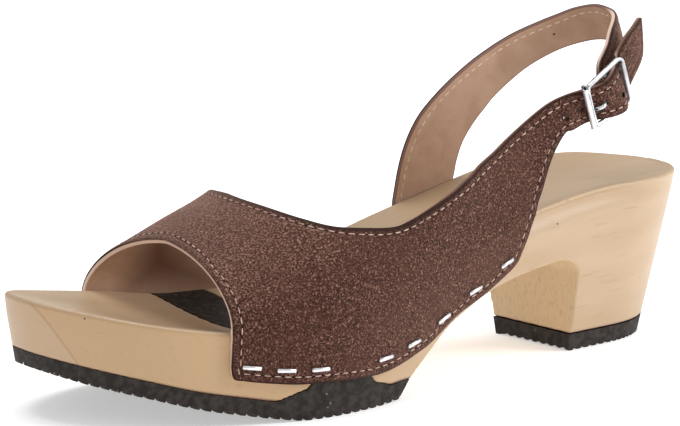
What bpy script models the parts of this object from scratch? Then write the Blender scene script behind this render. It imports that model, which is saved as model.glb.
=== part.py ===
"""Left clog sandal: split wooden sole, rubber flex joint, block heel and a stapled sling-back upper.

Sizes are in millimetres until a mesh is made. X runs from the back of the heel seat to the toe,
+Y is the outer side of the foot and the ground is Z = 0.
"""
from collections import namedtuple
import math

import bmesh
import bpy
from mathutils import Matrix, Vector

MM = 0.001
MERGE = 0.002
SLOPE_STEP = 0.01
SHARP_ANGLE = math.radians(35.0)

# Driving sizes of the sole
SOLE_LENGTH = 250.0
HEEL_ROUND = 34.0
HEEL_POWER = 2.3
TOE_ROUND = 46.0
TOE_POWER = 2.2
RIM_DEPTH = 7.0
RIM_INSET = 0.5
HOLLOW_POWER = 1.3
FOOTBED_LANES = (0.84, 0.6, 0.3, 0.0, -0.3, -0.6, -0.84)
HEEL_STEPS = 9
MIDDLE_STEPS = 24
TOE_STEPS = 10
TOE_BLOCK_START = 168.0
HEEL_BLOCK_END = 175.0
CROSS_SLANT = 0.08
SEAT_GAP = 0.3

# Driving sizes of the breast of the heel
BREAST_X = 57.3
BREAST_TOP = 33.8
BREAST_REACH = 9.3
BREAST_RISE = 6.0
BREAST_STEPS = 7
SHANK_STEPS = 11

# Driving sizes of the rubber
HEEL_TIP_TOP = 6.0
HEEL_TIP_BACK = (0.0, 0.4, 1.6, 3.6, 6.4)
HEEL_TIP_RIBS = 8.0
HEEL_TIP_END = 70.0
RIB_PITCH = 3.6
RIB_LAND = 2.2
RIB_FLANK = 0.4
RIB_DEPTH = 0.9
OUTSOLE_START = 130.0
OUTSOLE_RIBS_END = 248.0
OUTSOLE_TOE = (248.6, 249.6, 250.0)
OUTSOLE_END_X = 145.0
OUTSOLE_END_SLOPE = 0.87
FLEX_RIB_START = 146.0
FLEX_RIB_STEP = 4.0
FLEX_RIB_SECTIONS = 14
FLEX_RIB_INSET = 0.2
FLEX_RIB_ROOT = 3.0
FLEX_RIB_FOOT = 5.0

# Reach of the cutting prisms past the shoe
CUT_ACROSS = 90.0
CUT_BELOW = -20.0
CUT_ABOVE = 120.0
CUT_BACK = -60.0
CUT_FRONT = 300.0

# Driving sizes of the upper
WALL = 2.0
SKIN_OUT = WALL + SEAT_GAP
UPPER_LANES = 10
OUTER_ARCH_POWER = 1.95
INNER_ARCH_POWER = 2.0
WALL_SCALE = 65.0
STRAP_LEAN = 0.16
STRAP_START = 95.0
ARCH_END = 125.0
LOOP_X = 54.0
LOOP_Y = -1.5
LOOP_DEPTH = 33.0
LOOP_TURN = 30.0
HOLE_RADIUS = 1.1
HOLE_REACH = 1.7

# Driving sizes of the buckle
BUCKLE_X = 47.0
BUCKLE_Z = 90.0
BUCKLE_CLIMB = math.radians(24.0)
BUCKLE_TIP = math.radians(6.0)
BUCKLE_LENGTH = 20.4
BUCKLE_WIDTH = 16.4
BUCKLE_WIRE = 1.0
BUCKLE_CORNER = 2.0
FRONT_SIDE_OUT = 3.2
REAR_SIDE_OUT = 4.1
BAR_WIRE = 0.9
BAR_BEND = 1.0
EYE_HALF = 5.8
EYE_WALL = 0.9
BORE_HALF = 9.5
PRONG_WIRE = 0.7
PRONG_ACROSS = -2.0
PRONG_LANDING = 0.8
PRONG_STEPS = 5
SLOT_GAP = 0.5
CORNER_STEPS = 3
WIRE_SIDES = 8
EYE_SIDES = 12

# Driving sizes of the staples
STAPLE_LENGTH = 6.2
STAPLE_WIDTH = 1.3
STAPLE_HEIGHT = 0.7
STAPLE_EDGE = 0.25
STAPLE_RISE = 4.7
STAPLE_SLOPE = 0.7
STAPLE_STATIONS = (197.6, 187.0, 176.0, 150.3, 137.3, 122.7, 107.6, 92.4)

# Outline of the sole: centre line, half width, height of the footbed edge, hollow of the footbed,
# edge rounding and the inward lean of the outer and inner side walls
Sole = namedtuple("Sole", "x centre half edge hollow rounding outer_lean inner_lean")
SOLE = (
    Sole(0.0, -3.2, 26.4, 57.8, 0.5, 1.2, 0.24, 0.22),
    Sole(38.0, -1.3, 30.1, 58.0, 3.0, 1.2, 0.22, 0.23),
    Sole(75.0, 0.7, 29.5, 53.5, 2.5, 1.2, 0.18, 0.20),
    Sole(112.0, 3.0, 33.8, 43.7, 2.5, 1.0, 0.13, 0.13),
    Sole(150.0, 3.8, 41.5, 28.1, 4.0, 1.0, 0.08, 0.08),
    Sole(175.0, 2.2, 44.7, 26.7, 4.5, 1.0, 0.07, 0.07),
    Sole(200.0, -2.2, 42.2, 30.1, 3.5, 1.0, 0.08, 0.08),
    Sole(225.0, -7.3, 37.8, 34.2, 2.0, 1.4, 0.10, 0.10),
    Sole(250.0, -15.5, 30.8, 39.7, 0.0, 1.8, 0.14, 0.14),
)

# Side profile of the forefoot: underside of the wood and the tread of the rubber
Forefoot = namedtuple("Forefoot", "x wood tread")
FOREFOOT = (
    Forefoot(120.0, 6.6, 1.6),
    Forefoot(140.0, 6.6, 0.6),
    Forefoot(152.0, 6.2, 0.0),
    Forefoot(178.0, 6.2, 0.0),
    Forefoot(189.0, 7.4, 1.4),
    Forefoot(199.0, 9.4, 3.4),
    Forefoot(212.0, 12.2, 6.2),
    Forefoot(225.0, 15.8, 9.8),
    Forefoot(240.0, 19.8, 13.8),
    Forefoot(250.0, 22.6, 17.1),
)

# Underside of the shank, from the breast of the heel to the forefoot
Shank = namedtuple("Shank", "x z")
SHANK = (
    Shank(66.6, 33.8),
    Shank(70.9, 33.4),
    Shank(76.1, 32.6),
    Shank(89.6, 30.5),
    Shank(99.9, 28.2),
    Shank(109.8, 24.7),
    Shank(119.6, 20.3),
    Shank(129.5, 13.4),
    Shank(139.8, 5.8),
)

# Faces of the flex joint, seen from the side: the toe block's rear face and the heel block's front face
Joint = namedtuple("Joint", "z toe_face heel_face")
JOINT = (
    Joint(4.0, 194.0, 144.0),
    Joint(6.6, 193.4, 149.5),
    Joint(8.4, 188.5, 155.7),
    Joint(10.3, 182.6, 157.4),
    Joint(12.5, 180.2, 158.0),
    Joint(26.0, 180.6, 161.7),
    Joint(34.0, 180.8, 163.6),
)

# Instep line of the last above the footbed, which the vamp reaches and the straps stay below
Instep = namedtuple("Instep", "x y z")
INSTEP = (
    Instep(54.0, -1.5, 150.0),
    Instep(100.0, -1.0, 150.0),
    Instep(115.0, -1.0, 122.0),
    Instep(130.0, -1.0, 102.0),
    Instep(150.0, -1.0, 85.0),
    Instep(165.0, -2.0, 74.0),
    Instep(178.0, -2.5, 66.0),
    Instep(190.0, -3.5, 60.2),
    Instep(201.0, -4.0, 54.0),
    Instep(215.0, -5.0, 46.3),
)

# Cross rows of the upper, each from its lower edge to its upper edge, with how far each edge stands
# out of the last and the number of rows up to the next one. An upper edge at RIDGE lies on the instep
# line, where the two sides of the vamp meet. The lower edges of the outer rows after HEM_FIRST, up to
# HEM_LAST, are the hem that the staples hold.
Row = namedtuple("Row", "low_x low_z low_out top_x top_z top_out steps")
RIDGE = 99.0
HEM_FIRST = 0
HEM_LAST = 14
OUTER_ROWS = (
    Row(203.8, 20.0, 0.0, 201.0, RIDGE, 0.0, 1),
    Row(202.9, 16.2, 0.0, 199.0, RIDGE, 0.0, 2),
    Row(195.6, 14.4, 0.0, 194.0, RIDGE, 0.0, 2),
    Row(185.0, 12.8, 0.0, 186.0, RIDGE, 0.0, 2),
    Row(177.0, 12.4, 0.0, 177.3, RIDGE, 0.0, 2),
    Row(172.0, 12.2, 0.0, 176.9, 65.6, 0.0, 2),
    Row(167.0, 12.0, 0.0, 173.9, 64.0, 0.0, 2),
    Row(162.0, 11.8, 0.0, 169.0, 61.8, 0.0, 1),
    Row(155.4, 11.4, 0.0, 161.7, 59.4, 0.0, 2),
    Row(143.8, 12.6, 0.0, 150.5, 58.0, 0.0, 2),
    Row(134.5, 15.2, 0.0, 141.5, 57.4, 0.0, 1),
    Row(127.2, 17.6, 0.0, 134.5, 58.7, 0.0, 2),
    Row(114.5, 24.2, 0.0, 126.5, 61.2, 0.0, 2),
    Row(100.2, 29.4, 0.0, 118.5, 64.0, 0.0, 2),
    Row(87.9, 35.6, 0.0, 111.5, 66.8, 0.0, 1),
    Row(84.0, 41.2, 0.0, 104.5, 69.9, 0.0, 2),
    Row(79.1, 52.4, 0.0, 95.5, 74.3, 0.0, 2),
    Row(75.0, 60.5, 0.0, 88.5, 78.0, 0.0, 2),
    Row(69.6, 70.4, 0.0, 80.5, 82.2, 0.0, 2),
    Row(63.6, 77.6, 0.3, 69.5, 87.8, 0.3, 2),
    Row(60.2, 78.4, 0.4, 62.6, 90.2, 1.6, 2),
    Row(52.3, 80.8, -0.3, 56.6, 91.5, 3.5, 3),
    Row(48.7, 82.2, 1.7, 52.8, 93.0, 5.0, 2),
    Row(45.0, 84.1, 3.6, 49.1, 94.9, 6.0, 2),
    Row(41.4, 86.1, 4.0, 45.8, 96.9, 5.6, 2),
    Row(38.1, 88.8, 3.8, 43.1, 99.6, 5.2, 2),
    Row(36.2, 92.2, 5.4, 43.2, 102.4, 5.8, 2),
    Row(32.6, 98.4, 7.5, 39.8, 107.8, 6.9, 2),
    Row(31.4, 103.1, 8.1, 36.0, 110.1, 7.5, 2),
    Row(31.4, 111.0, 8.4, 32.2, 112.4, 8.2, 0),
)
INNER_ROWS = (
    Row(209.4, 21.0, 0.0, 201.0, RIDGE, 0.0, 1),
    Row(206.8, 17.0, 0.0, 199.0, RIDGE, 0.0, 2),
    Row(200.0, 15.0, 0.0, 194.0, RIDGE, 0.0, 2),
    Row(189.5, 13.4, 0.0, 186.0, RIDGE, 0.0, 2),
    Row(180.5, 12.8, 0.0, 177.3, RIDGE, 0.0, 2),
    Row(174.5, 12.5, 0.0, 175.6, 65.8, 0.0, 2),
    Row(167.5, 12.2, 0.0, 170.0, 62.8, 0.0, 2),
    Row(160.5, 12.0, 0.0, 163.0, 55.0, 0.0, 1),
    Row(152.5, 12.0, 0.0, 154.0, 45.0, 0.0, 2),
    Row(143.8, 12.8, 0.0, 145.0, 36.5, 0.0, 2),
    Row(134.5, 15.4, 0.0, 135.0, 32.4, 0.0, 2),
    Row(125.0, 18.8, 0.0, 125.0, 35.4, 0.0, 2),
    Row(114.5, 24.2, 0.0, 113.0, 39.2, 0.0, 2),
    Row(103.5, 28.4, 0.0, 101.5, 42.4, 0.0, 2),
    Row(95.0, 31.8, 0.0, 94.8, 46.4, 0.0, 1),
    Row(87.5, 35.0, 0.0, 93.4, 52.6, 0.0, 1),
    Row(79.5, 38.6, 0.0, 92.6, 59.8, 0.0, 2),
    Row(73.0, 47.0, 0.0, 91.2, 66.8, 0.0, 2),
    Row(69.0, 55.0, 0.0, 88.9, 73.4, 0.0, 2),
    Row(68.0, 61.5, 0.0, 85.2, 79.8, 0.0, 2),
    Row(65.8, 68.2, 0.0, 79.6, 85.5, 0.0, 2),
    Row(61.4, 74.5, 0.0, 72.0, 91.4, 0.0, 2),
    Row(55.0, 81.0, 0.0, 63.2, 96.8, 0.0, 2),
    Row(47.0, 88.0, 0.3, 54.6, 101.1, -0.3, 2),
    Row(41.6, 92.3, 0.6, 46.2, 105.3, -0.8, 2),
    Row(35.6, 96.0, 1.0, 37.8, 108.7, -1.4, 2),
    Row(29.0, 99.0, 1.0, 31.0, 111.1, -1.5, 2),
    Row(21.6, 101.1, 1.0, 24.0, 113.3, -1.5, 2),
    Row(13.6, 102.4, 1.0, 14.4, 114.6, -1.5, 2),
    Row(5.6, 102.6, 1.0, 4.6, 114.0, -1.5, 2),
    Row(-2.0, 102.0, 1.0, -4.0, 113.2, -1.5, 2),
    Row(-8.8, 100.6, 1.0, -12.0, 112.0, -1.4, 2),
    Row(-14.0, 98.6, 0.9, -19.5, 109.2, -1.2, 2),
    Row(-19.6, 94.9, 0.6, -25.6, 105.0, -0.8, 2),
    Row(-26.6, 88.6, 0.0, -32.4, 100.3, -0.4, 2),
    Row(-31.6, 84.0, 0.0, -34.2, 95.4, 0.0, 0),
)

# Holes of the strap that the prong leaves free
Hole = namedtuple("Hole", "x z out")
HOLES = (
    Hole(64.0, 83.6, 0.2),
    Hole(57.0, 85.4, 1.4),
    Hole(42.6, 89.5, 4.4),
)


def smooth(table, name, x):
    """Value of a table's column at x, on a curve through its rows that never passes beyond them."""
    rows = [(row[0], getattr(row, name)) for row in table]
    if rows[0][0] > rows[-1][0]:
        rows.reverse()
    x = min(max(x, rows[0][0]), rows[-1][0])
    last = len(rows) - 2
    i = 0
    while i < last and x > rows[i + 1][0]:
        i += 1
    steps = [(rows[k + 1][1] - rows[k][1]) / (rows[k + 1][0] - rows[k][0]) for k in range(len(rows) - 1)]

    def slope(k):
        if k == 0:
            return steps[0]
        if k == len(steps):
            return steps[-1]
        if steps[k - 1] * steps[k] <= 0:
            return 0.0
        return (steps[k - 1] + steps[k]) / 2

    width = rows[i + 1][0] - rows[i][0]
    t = (x - rows[i][0]) / width
    value = rows[i][1] * (1 + 2 * t) * (1 - t) ** 2 + rows[i + 1][1] * t * t * (3 - 2 * t)
    return value + width * t * (1 - t) * (slope(i) * (1 - t) - slope(i + 1) * t)


def straight(table, name, x):
    """Value of a table's column at x, on straight lines between its rows."""
    for first, second in zip(table, table[1:]):
        if x <= second[0]:
            break
    t = (x - first[0]) / (second[0] - first[0])
    return getattr(first, name) * (1 - t) + getattr(second, name) * t


def ease(start, end, x):
    t = min(1.0, max(0.0, (x - start) / (end - start)))
    return t * t * (3 - 2 * t)


# Shape of the sole

def outline(side, x):
    """Y of the footbed edge, on the outer side for +1 and the inner side for -1."""
    heel = min(1.0, max(0.0, (HEEL_ROUND - x) / HEEL_ROUND))
    toe = min(1.0, max(0.0, (x - SOLE_LENGTH + TOE_ROUND) / TOE_ROUND))
    narrowing = (1 - heel ** HEEL_POWER) ** (1 / HEEL_POWER) * (1 - toe ** TOE_POWER) ** (1 / TOE_POWER)
    return smooth(SOLE, "centre", x) + side * smooth(SOLE, "half", x) * narrowing


def edge(x):
    return smooth(SOLE, "edge", x)


def wall_lean(side, x):
    return smooth(SOLE, "outer_lean" if side > 0 else "inner_lean", x)


def inward(side, x):
    """Level direction from the footbed edge into the sole."""
    if x >= SOLE_LENGTH:
        return Vector((-1.0, 0.0, 0.0))
    if x <= 0.0:
        return Vector((1.0, 0.0, 0.0))
    h = min(SLOPE_STEP, x / 2, (SOLE_LENGTH - x) / 2)
    slope = (outline(side, x + h) - outline(side, x - h)) / (2 * h)
    return Vector((side * slope, -side, 0.0)).normalized()


def side_point(side, x, z, inset=0.0):
    """Point of the sole's side wall below the footbed edge at x."""
    depth = edge(x) - z
    rim = min(1.0, depth / RIM_DEPTH) * RIM_INSET
    lean = (wall_lean(1, x) + wall_lean(-1, x)) / 2 if x in (0.0, SOLE_LENGTH) else wall_lean(side, x)
    offset = inset + rim + lean * max(0.0, depth - RIM_DEPTH)
    return Vector((x, outline(side, x), z)) + inward(side, x) * offset


def sole_stations():
    """Stations along the sole, closer together round the heel and the toe."""
    quarter = math.pi / 2
    heel = [HEEL_ROUND * (1 - math.cos(quarter * k / HEEL_STEPS)) for k in range(HEEL_STEPS)]
    start = HEEL_ROUND
    end = SOLE_LENGTH - TOE_ROUND
    middle = [start + (end - start) * k / MIDDLE_STEPS for k in range(MIDDLE_STEPS)]
    toe = [end + TOE_ROUND * math.sin(quarter * k / TOE_STEPS) for k in range(TOE_STEPS)]
    return heel + middle + toe + [SOLE_LENGTH]


def footbed_section(x, bottom, inset=0.0):
    """Section of the wooden blank at x: outer wall, footbed and inner wall, from underside to underside."""
    rounding = smooth(SOLE, "rounding", x)
    top = edge(x)
    walls = {}
    for side in (1, -1):
        levels = (bottom, top - RIM_DEPTH, top - rounding)
        walls[side] = [side_point(side, x, z, inset) for z in levels]
        rim = Vector((x, outline(side, x), top)) + inward(side, x) * (rounding + inset)
        walls[side].append(rim)
    hollow = smooth(SOLE, "hollow", x)
    middle = []
    for lane in FOOTBED_LANES:
        point = walls[1][-1].lerp(walls[-1][-1], (1 - lane) / 2)
        point.z -= hollow * (1 - lane * lane) ** HOLLOW_POWER
        middle.append(point)
    return walls[1] + middle + walls[-1][::-1]


# Meshes, materials and cutters

def make_material(name, colour, roughness, metallic=0.0):
    material = bpy.data.materials.new(name)
    material.use_nodes = True
    shader = material.node_tree.nodes["Principled BSDF"]
    shader.inputs["Base Color"].default_value = (*colour, 1.0)
    shader.inputs["Roughness"].default_value = roughness
    shader.inputs["Metallic"].default_value = metallic
    return material


def add_object(name, bm, material, parent):
    """Object from a bmesh in millimetres, with its size in metres."""
    bmesh.ops.scale(bm, vec=(MM, MM, MM), verts=bm.verts)
    mesh = bpy.data.meshes.new(name)
    bm.to_mesh(mesh)
    bm.free()
    mesh.shade_smooth()
    mesh.set_sharp_from_angle(angle=SHARP_ANGLE)
    if material:
        mesh.materials.append(material)
    obj = bpy.data.objects.new(name, mesh)
    bpy.context.scene.collection.objects.link(obj)
    obj.parent = parent
    return obj


def loft(sections, closed_path=False):
    """Closed skin through sections of equal length, with flat ends unless the path is closed."""
    bm = bmesh.new()
    rings = [[bm.verts.new(point) for point in section] for section in sections]
    count = len(rings[0])
    pairs = list(zip(rings, rings[1:]))
    if closed_path:
        pairs.append((rings[-1], rings[0]))
    for first, second in pairs:
        for k in range(count):
            n = (k + 1) % count
            bm.faces.new((first[k], first[n], second[n], second[k]))
    if not closed_path:
        bm.faces.new(rings[0])
        bm.faces.new(rings[-1][::-1])
    bmesh.ops.remove_doubles(bm, verts=bm.verts, dist=MERGE)
    bmesh.ops.dissolve_degenerate(bm, edges=bm.edges, dist=MERGE)
    bmesh.ops.recalc_face_normals(bm, faces=bm.faces)
    return bm


def prism(profile):
    """Side profile carried across the shoe along the slant of its cross lines."""
    sections = []
    for y in (-CUT_ACROSS, CUT_ACROSS):
        sections.append([Vector((x - CROSS_SLANT * y, y, z)) for x, z in profile])
    return loft(sections)


def add_cutter(name, bm, parent):
    cutter = add_object(name, bm, None, parent)
    cutter.hide_render = True
    cutter.display_type = "WIRE"
    return cutter


def add_boolean(obj, cutter, operation):
    modifier = obj.modifiers.new(cutter.name, "BOOLEAN")
    modifier.operation = operation
    modifier.object = cutter
    modifier.solver = "EXACT"


# Wooden blocks

def wood_bottom(x):
    return smooth(FOREFOOT, "wood", x)


def breast_profile():
    """Breast of the heel and underside of the shank, from the ground to the forefoot."""
    points = [(BREAST_X, CUT_BELOW)]
    for k in range(BREAST_STEPS + 1):
        angle = (math.pi / 2) * k / BREAST_STEPS
        x = BREAST_X + BREAST_REACH * (1 - math.cos(angle))
        points.append((x, BREAST_TOP - BREAST_RISE * (1 - math.sin(angle))))
    start = BREAST_X + BREAST_REACH
    end = SHANK[-1].x
    for k in range(1, SHANK_STEPS + 1):
        x = start + (end - start) * k / SHANK_STEPS
        points.append((x, smooth(SHANK, "z", x)))
    return points


def build_toe_block(material, parent):
    stations = [x for x in sole_stations() if x > TOE_BLOCK_START]
    bm = loft([footbed_section(x, wood_bottom(x)) for x in stations])
    block = add_object("sole_toe_block", bm, material, parent)
    face = [(row.toe_face, row.z) for row in JOINT]
    profile = [(face[0][0], CUT_BELOW)] + face + [(face[-1][0], CUT_ABOVE)]
    profile += [(CUT_FRONT, CUT_ABOVE), (CUT_FRONT, CUT_BELOW)]
    add_boolean(block, add_cutter("cut_toe_block", prism(profile), parent), "INTERSECT")


def build_heel_block(material, parent):
    stations = [x for x in sole_stations() if x < HEEL_BLOCK_END]
    bottom = HEEL_TIP_TOP + SEAT_GAP
    bm = loft([footbed_section(x, max(bottom, wood_bottom(x))) for x in stations])
    block = add_object("sole_heel_block", bm, material, parent)
    face = [(row.heel_face, row.z) for row in JOINT]
    profile = [(CUT_BACK, CUT_BELOW)] + breast_profile()
    profile += [(SHANK[-1].x, CUT_BELOW), (face[0][0], CUT_BELOW)]
    profile += face + [(face[-1][0], CUT_ABOVE), (CUT_BACK, CUT_ABOVE)]
    add_boolean(block, add_cutter("cut_heel_block", prism(profile), parent), "INTERSECT")


# Rubber tread

def rib_stations(start, end):
    """Stations of a ribbed tread with the depth of the tread at each one."""
    stations = []
    count = int((end - start) / RIB_PITCH)
    for k in range(count):
        x = start + RIB_PITCH * k
        land = x + RIB_LAND
        groove = x + RIB_PITCH - RIB_FLANK
        stations += [(x, 0.0), (land, 0.0), (land + RIB_FLANK, RIB_DEPTH), (groove, RIB_DEPTH)]
    return stations


def tread_section(x, top, tread, inset=0.0):
    """Section of a rubber tread at x, from its outer upper edge round the ground side and back."""
    low = {side: side_point(side, x, tread, inset) for side in (1, -1)}
    high = {side: side_point(side, x, top, inset) for side in (1, -1)}
    return [high[1], low[1], low[1].lerp(low[-1], 0.5), low[-1], high[-1], high[-1].lerp(high[1], 0.5)]


def outsole_end(z):
    return OUTSOLE_END_X - OUTSOLE_END_SLOPE * z


def build_outsole(material, parent):
    stations = rib_stations(OUTSOLE_START, OUTSOLE_RIBS_END) + [(x, 0.0) for x in OUTSOLE_TOE]
    sections = []
    for x, depth in stations:
        top = wood_bottom(x) - SEAT_GAP
        sections.append(tread_section(x, top, smooth(FOREFOOT, "tread", x) + depth))
    outsole = add_object("outsole", loft(sections), material, parent)

    high = FOREFOOT[0].wood + SEAT_GAP
    low = -high
    profile = [(outsole_end(low), low), (outsole_end(high), high), (outsole_end(high), CUT_ABOVE)]
    profile += [(CUT_FRONT, CUT_ABOVE), (CUT_FRONT, low)]
    add_boolean(outsole, add_cutter("cut_outsole_end", prism(profile), parent), "INTERSECT")

    stations = [FLEX_RIB_START + FLEX_RIB_STEP * k for k in range(FLEX_RIB_SECTIONS)]
    sections = [footbed_section(x, FLEX_RIB_ROOT, FLEX_RIB_INSET) for x in stations]
    rib = add_cutter("flex_rib", loft(sections), parent)
    toe_side = [(row.toe_face - SEAT_GAP, row.z) for row in JOINT]
    heel_side = [(row.heel_face + SEAT_GAP, row.z) for row in JOINT]
    profile = [(heel_side[0][0] + FLEX_RIB_FOOT, 0.0), (toe_side[0][0] - FLEX_RIB_FOOT, 0.0)] + toe_side[1:]
    profile += [(toe_side[-1][0], CUT_ABOVE), (heel_side[-1][0], CUT_ABOVE)] + heel_side[:0:-1]
    add_boolean(rib, add_cutter("cut_flex_rib", prism(profile), parent), "INTERSECT")
    add_boolean(outsole, rib, "UNION")


def build_heel_tip(material, parent):
    stations = [(x, 0.0) for x in HEEL_TIP_BACK] + rib_stations(HEEL_TIP_RIBS, HEEL_TIP_END)
    sections = [tread_section(x, HEEL_TIP_TOP, depth) for x, depth in stations]
    tip = add_object("heel_tip", loft(sections), material, parent)
    profile = [(CUT_BACK, CUT_BELOW), (BREAST_X, CUT_BELOW), (BREAST_X, -CUT_BELOW), (CUT_BACK, -CUT_BELOW)]
    add_boolean(tip, add_cutter("cut_heel_tip", prism(profile), parent), "INTERSECT")


# Upper

def instep(x):
    return smooth(INSTEP, "y", x), smooth(INSTEP, "z", x)


def arch_power(side):
    return OUTER_ARCH_POWER if side > 0 else INNER_ARCH_POWER


def rise_of(side, x, z):
    """Place between the footbed edge, at 0, and the instep line, at 1; below 0 on the sole's side wall."""
    x = max(x, LOOP_X)
    base = edge(x)
    if z <= base:
        return (z - base) / WALL_SCALE
    share = min(1.0, (z - base) / (instep(x)[1] - base))
    return math.asin(share ** (arch_power(side) / 2)) / (math.pi / 2)


def height_of(side, x, rise):
    x = max(x, LOOP_X)
    base = edge(x)
    if rise <= 0:
        return base + rise * WALL_SCALE
    share = math.sin(rise * math.pi / 2) ** (2 / arch_power(side))
    return base + share * (instep(x)[1] - base)


def last_y(side, x, z):
    """Y of the upper's outer skin at x and z: sole wall, then the arch of the foot or the lean of a strap."""
    base = edge(x)
    if z <= base:
        return side_point(side, x, z, -SKIN_OUT).y
    start = outline(side, x) + side * SKIN_OUT
    leaning = start - side * STRAP_LEAN * (z - base)
    ridge_y, ridge_z = instep(x)
    share = min(1.0, (z - base) / (ridge_z - base))
    power = arch_power(side)
    arched = ridge_y + (start - ridge_y) * (1 - share ** power) ** (1 / power)
    blend = ease(ARCH_END, STRAP_START, x)
    return arched + (leaning - arched) * blend


def skin_point(side, x, z, out=0.0):
    """Point of the outer skin. Past LOOP_X the distance x runs on round the back of the strap's loop."""
    if x >= LOOP_X:
        return Vector((x, last_y(side, x, z) + side * out, z))
    turn = (LOOP_X - x) / LOOP_TURN
    near = side if turn <= math.pi / 2 else -side
    radius = abs(last_y(near, LOOP_X, z) - LOOP_Y) + out
    back = LOOP_DEPTH + out
    return Vector((LOOP_X - back * math.sin(turn), LOOP_Y + side * radius * math.cos(turn), z))


def spread(side, table):
    """Rows at every step between the table's rows, with heights as rises on the last."""
    rows = []
    for row in table:
        low = rise_of(side, row.low_x, row.low_z)
        rows.append(row._replace(low_z=low, top_z=rise_of(side, row.top_x, row.top_z)))
    fine = []
    for i, row in enumerate(rows):
        if row.steps == 0:
            fine.append(row)
            break
        before = rows[max(0, i - 1)]
        after = rows[i + 1]
        beyond = rows[min(len(rows) - 1, i + 2)]
        for k in range(row.steps):
            t = k / row.steps
            values = []
            for a, b, c, d in zip(before[:-1], row[:-1], after[:-1], beyond[:-1]):
                bend = (c - a) * t * (1 - t) ** 2 / 2 + (d - b) * t * t * (t - 1) / 2
                values.append(b * (1 + 2 * t) * (1 - t) ** 2 + c * t * t * (3 - 2 * t) + bend)
            fine.append(Row(*values, 1))
    return fine


def upper_line(side, row, on_ridge):
    """Points of one cross row, from its lower edge to its upper edge."""
    top = 1.0 if on_ridge else min(1.0, row.top_z)
    points = []
    for k in range(UPPER_LANES + 1):
        t = k / UPPER_LANES
        x = row.low_x + (row.top_x - row.low_x) * t
        z = height_of(side, x, row.low_z + (top - row.low_z) * t)
        points.append(skin_point(side, x, z, row.low_out + (row.top_out - row.low_out) * t))
    return points


def lower_edge(x):
    return straight(OUTER_ROWS[HEM_LAST:HEM_FIRST:-1], "low_z", x)


# Buckle

def buckle_axes():
    """Centre of the buckle on the strap's skin, with its directions along, across and out of the strap."""
    centre = skin_point(1, BUCKLE_X, BUCKLE_Z)
    level = (skin_point(1, BUCKLE_X + 1.0, BUCKLE_Z) - centre).normalized()
    up = Vector((0.0, 0.0, 1.0))
    outward = up.cross(level)
    steep = up * math.cos(BUCKLE_TIP) + outward * math.sin(BUCKLE_TIP)
    along = level * math.cos(BUCKLE_CLIMB) - steep * math.sin(BUCKLE_CLIMB)
    across = level * math.sin(BUCKLE_CLIMB) + steep * math.cos(BUCKLE_CLIMB)
    return centre, along, across, along.cross(across) * -1.0


def buckle_point(forward, upward, height):
    centre, along, across, out = buckle_axes()
    return centre + along * forward + across * upward + out * height


def wire(points, radius, sides, guide, closed=False):
    """Round wire along points, with its sides set by a guide direction that it never runs along."""
    sections = []
    count = len(points)
    for i, point in enumerate(points):
        if closed:
            ahead = points[(i + 1) % count] - points[i - 1]
        else:
            ahead = points[min(count - 1, i + 1)] - points[max(0, i - 1)]
        side = ahead.cross(guide).normalized()
        up = side.cross(ahead).normalized()
        ring = []
        for k in range(sides):
            angle = 2 * math.pi * (k + 0.5) / sides
            ring.append(point + side * radius * math.cos(angle) + up * radius * math.sin(angle))
        sections.append(ring)
    return loft(sections, closed)


def bar_span(half):
    return [buckle_point(0.0, half * t, 0.0) for t in (-1.0, 0.0, 1.0)]


def prong_path():
    """Prong from the buckle's bar, out through the strap's hole and onto the front side of the frame."""
    start = BAR_WIRE + SEAT_GAP + PRONG_WIRE
    rest = FRONT_SIDE_OUT + BUCKLE_WIRE + SEAT_GAP + PRONG_WIRE
    end = BUCKLE_LENGTH / 2 - BUCKLE_WIRE
    path = []
    for k in range(PRONG_STEPS + 1):
        share = k / PRONG_STEPS
        height = start + (rest - start) * ease(0.0, PRONG_LANDING, share)
        path.append(buckle_point(end * share, PRONG_ACROSS, height))
    return path


def frame_path(half_length, half_width):
    """Rounded rectangle of the buckle's frame, tipped so that it lies on the strap at both ends."""
    points = []
    corners = ((1, 1), (-1, 1), (-1, -1), (1, -1))
    for quarter, (end, rail) in enumerate(corners):
        for k in range(CORNER_STEPS + 1):
            angle = math.pi / 2 * (quarter + k / CORNER_STEPS)
            forward = end * (half_length - BUCKLE_CORNER) + BUCKLE_CORNER * math.cos(angle)
            upward = rail * (half_width - BUCKLE_CORNER) + BUCKLE_CORNER * math.sin(angle)
            share = (forward / half_length + 1) / 2
            height = REAR_SIDE_OUT + (FRONT_SIDE_OUT - REAR_SIDE_OUT) * share
            points.append(buckle_point(forward, upward, height))
    return points


def build_buckle(material, parent):
    _, along, across, out = buckle_axes()
    half_length = BUCKLE_LENGTH / 2 - BUCKLE_WIRE
    half_width = BUCKLE_WIDTH / 2 - BUCKLE_WIRE
    path = frame_path(half_length, half_width)
    ring = wire(path, BUCKLE_WIRE, WIRE_SIDES, out, closed=True)
    frame = add_object("buckle_frame", ring, material, parent)
    high = (FRONT_SIDE_OUT + REAR_SIDE_OUT) / 2
    bar = []
    for rail in (-1, 1):
        bend = [
            buckle_point(0.0, rail * half_width, high),
            buckle_point(0.0, rail * half_width, BAR_BEND),
            buckle_point(0.0, rail * (half_width - BAR_BEND), 0.0),
        ]
        bar += bend if rail < 0 else bend[::-1]
    add_boolean(frame, add_cutter("buckle_bar", wire(bar, BAR_WIRE, WIRE_SIDES, along), parent), "UNION")
    prong = wire(prong_path(), PRONG_WIRE, WIRE_SIDES, across)
    add_object("buckle_prong", prong, material, parent)


# Wall of the upper

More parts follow.
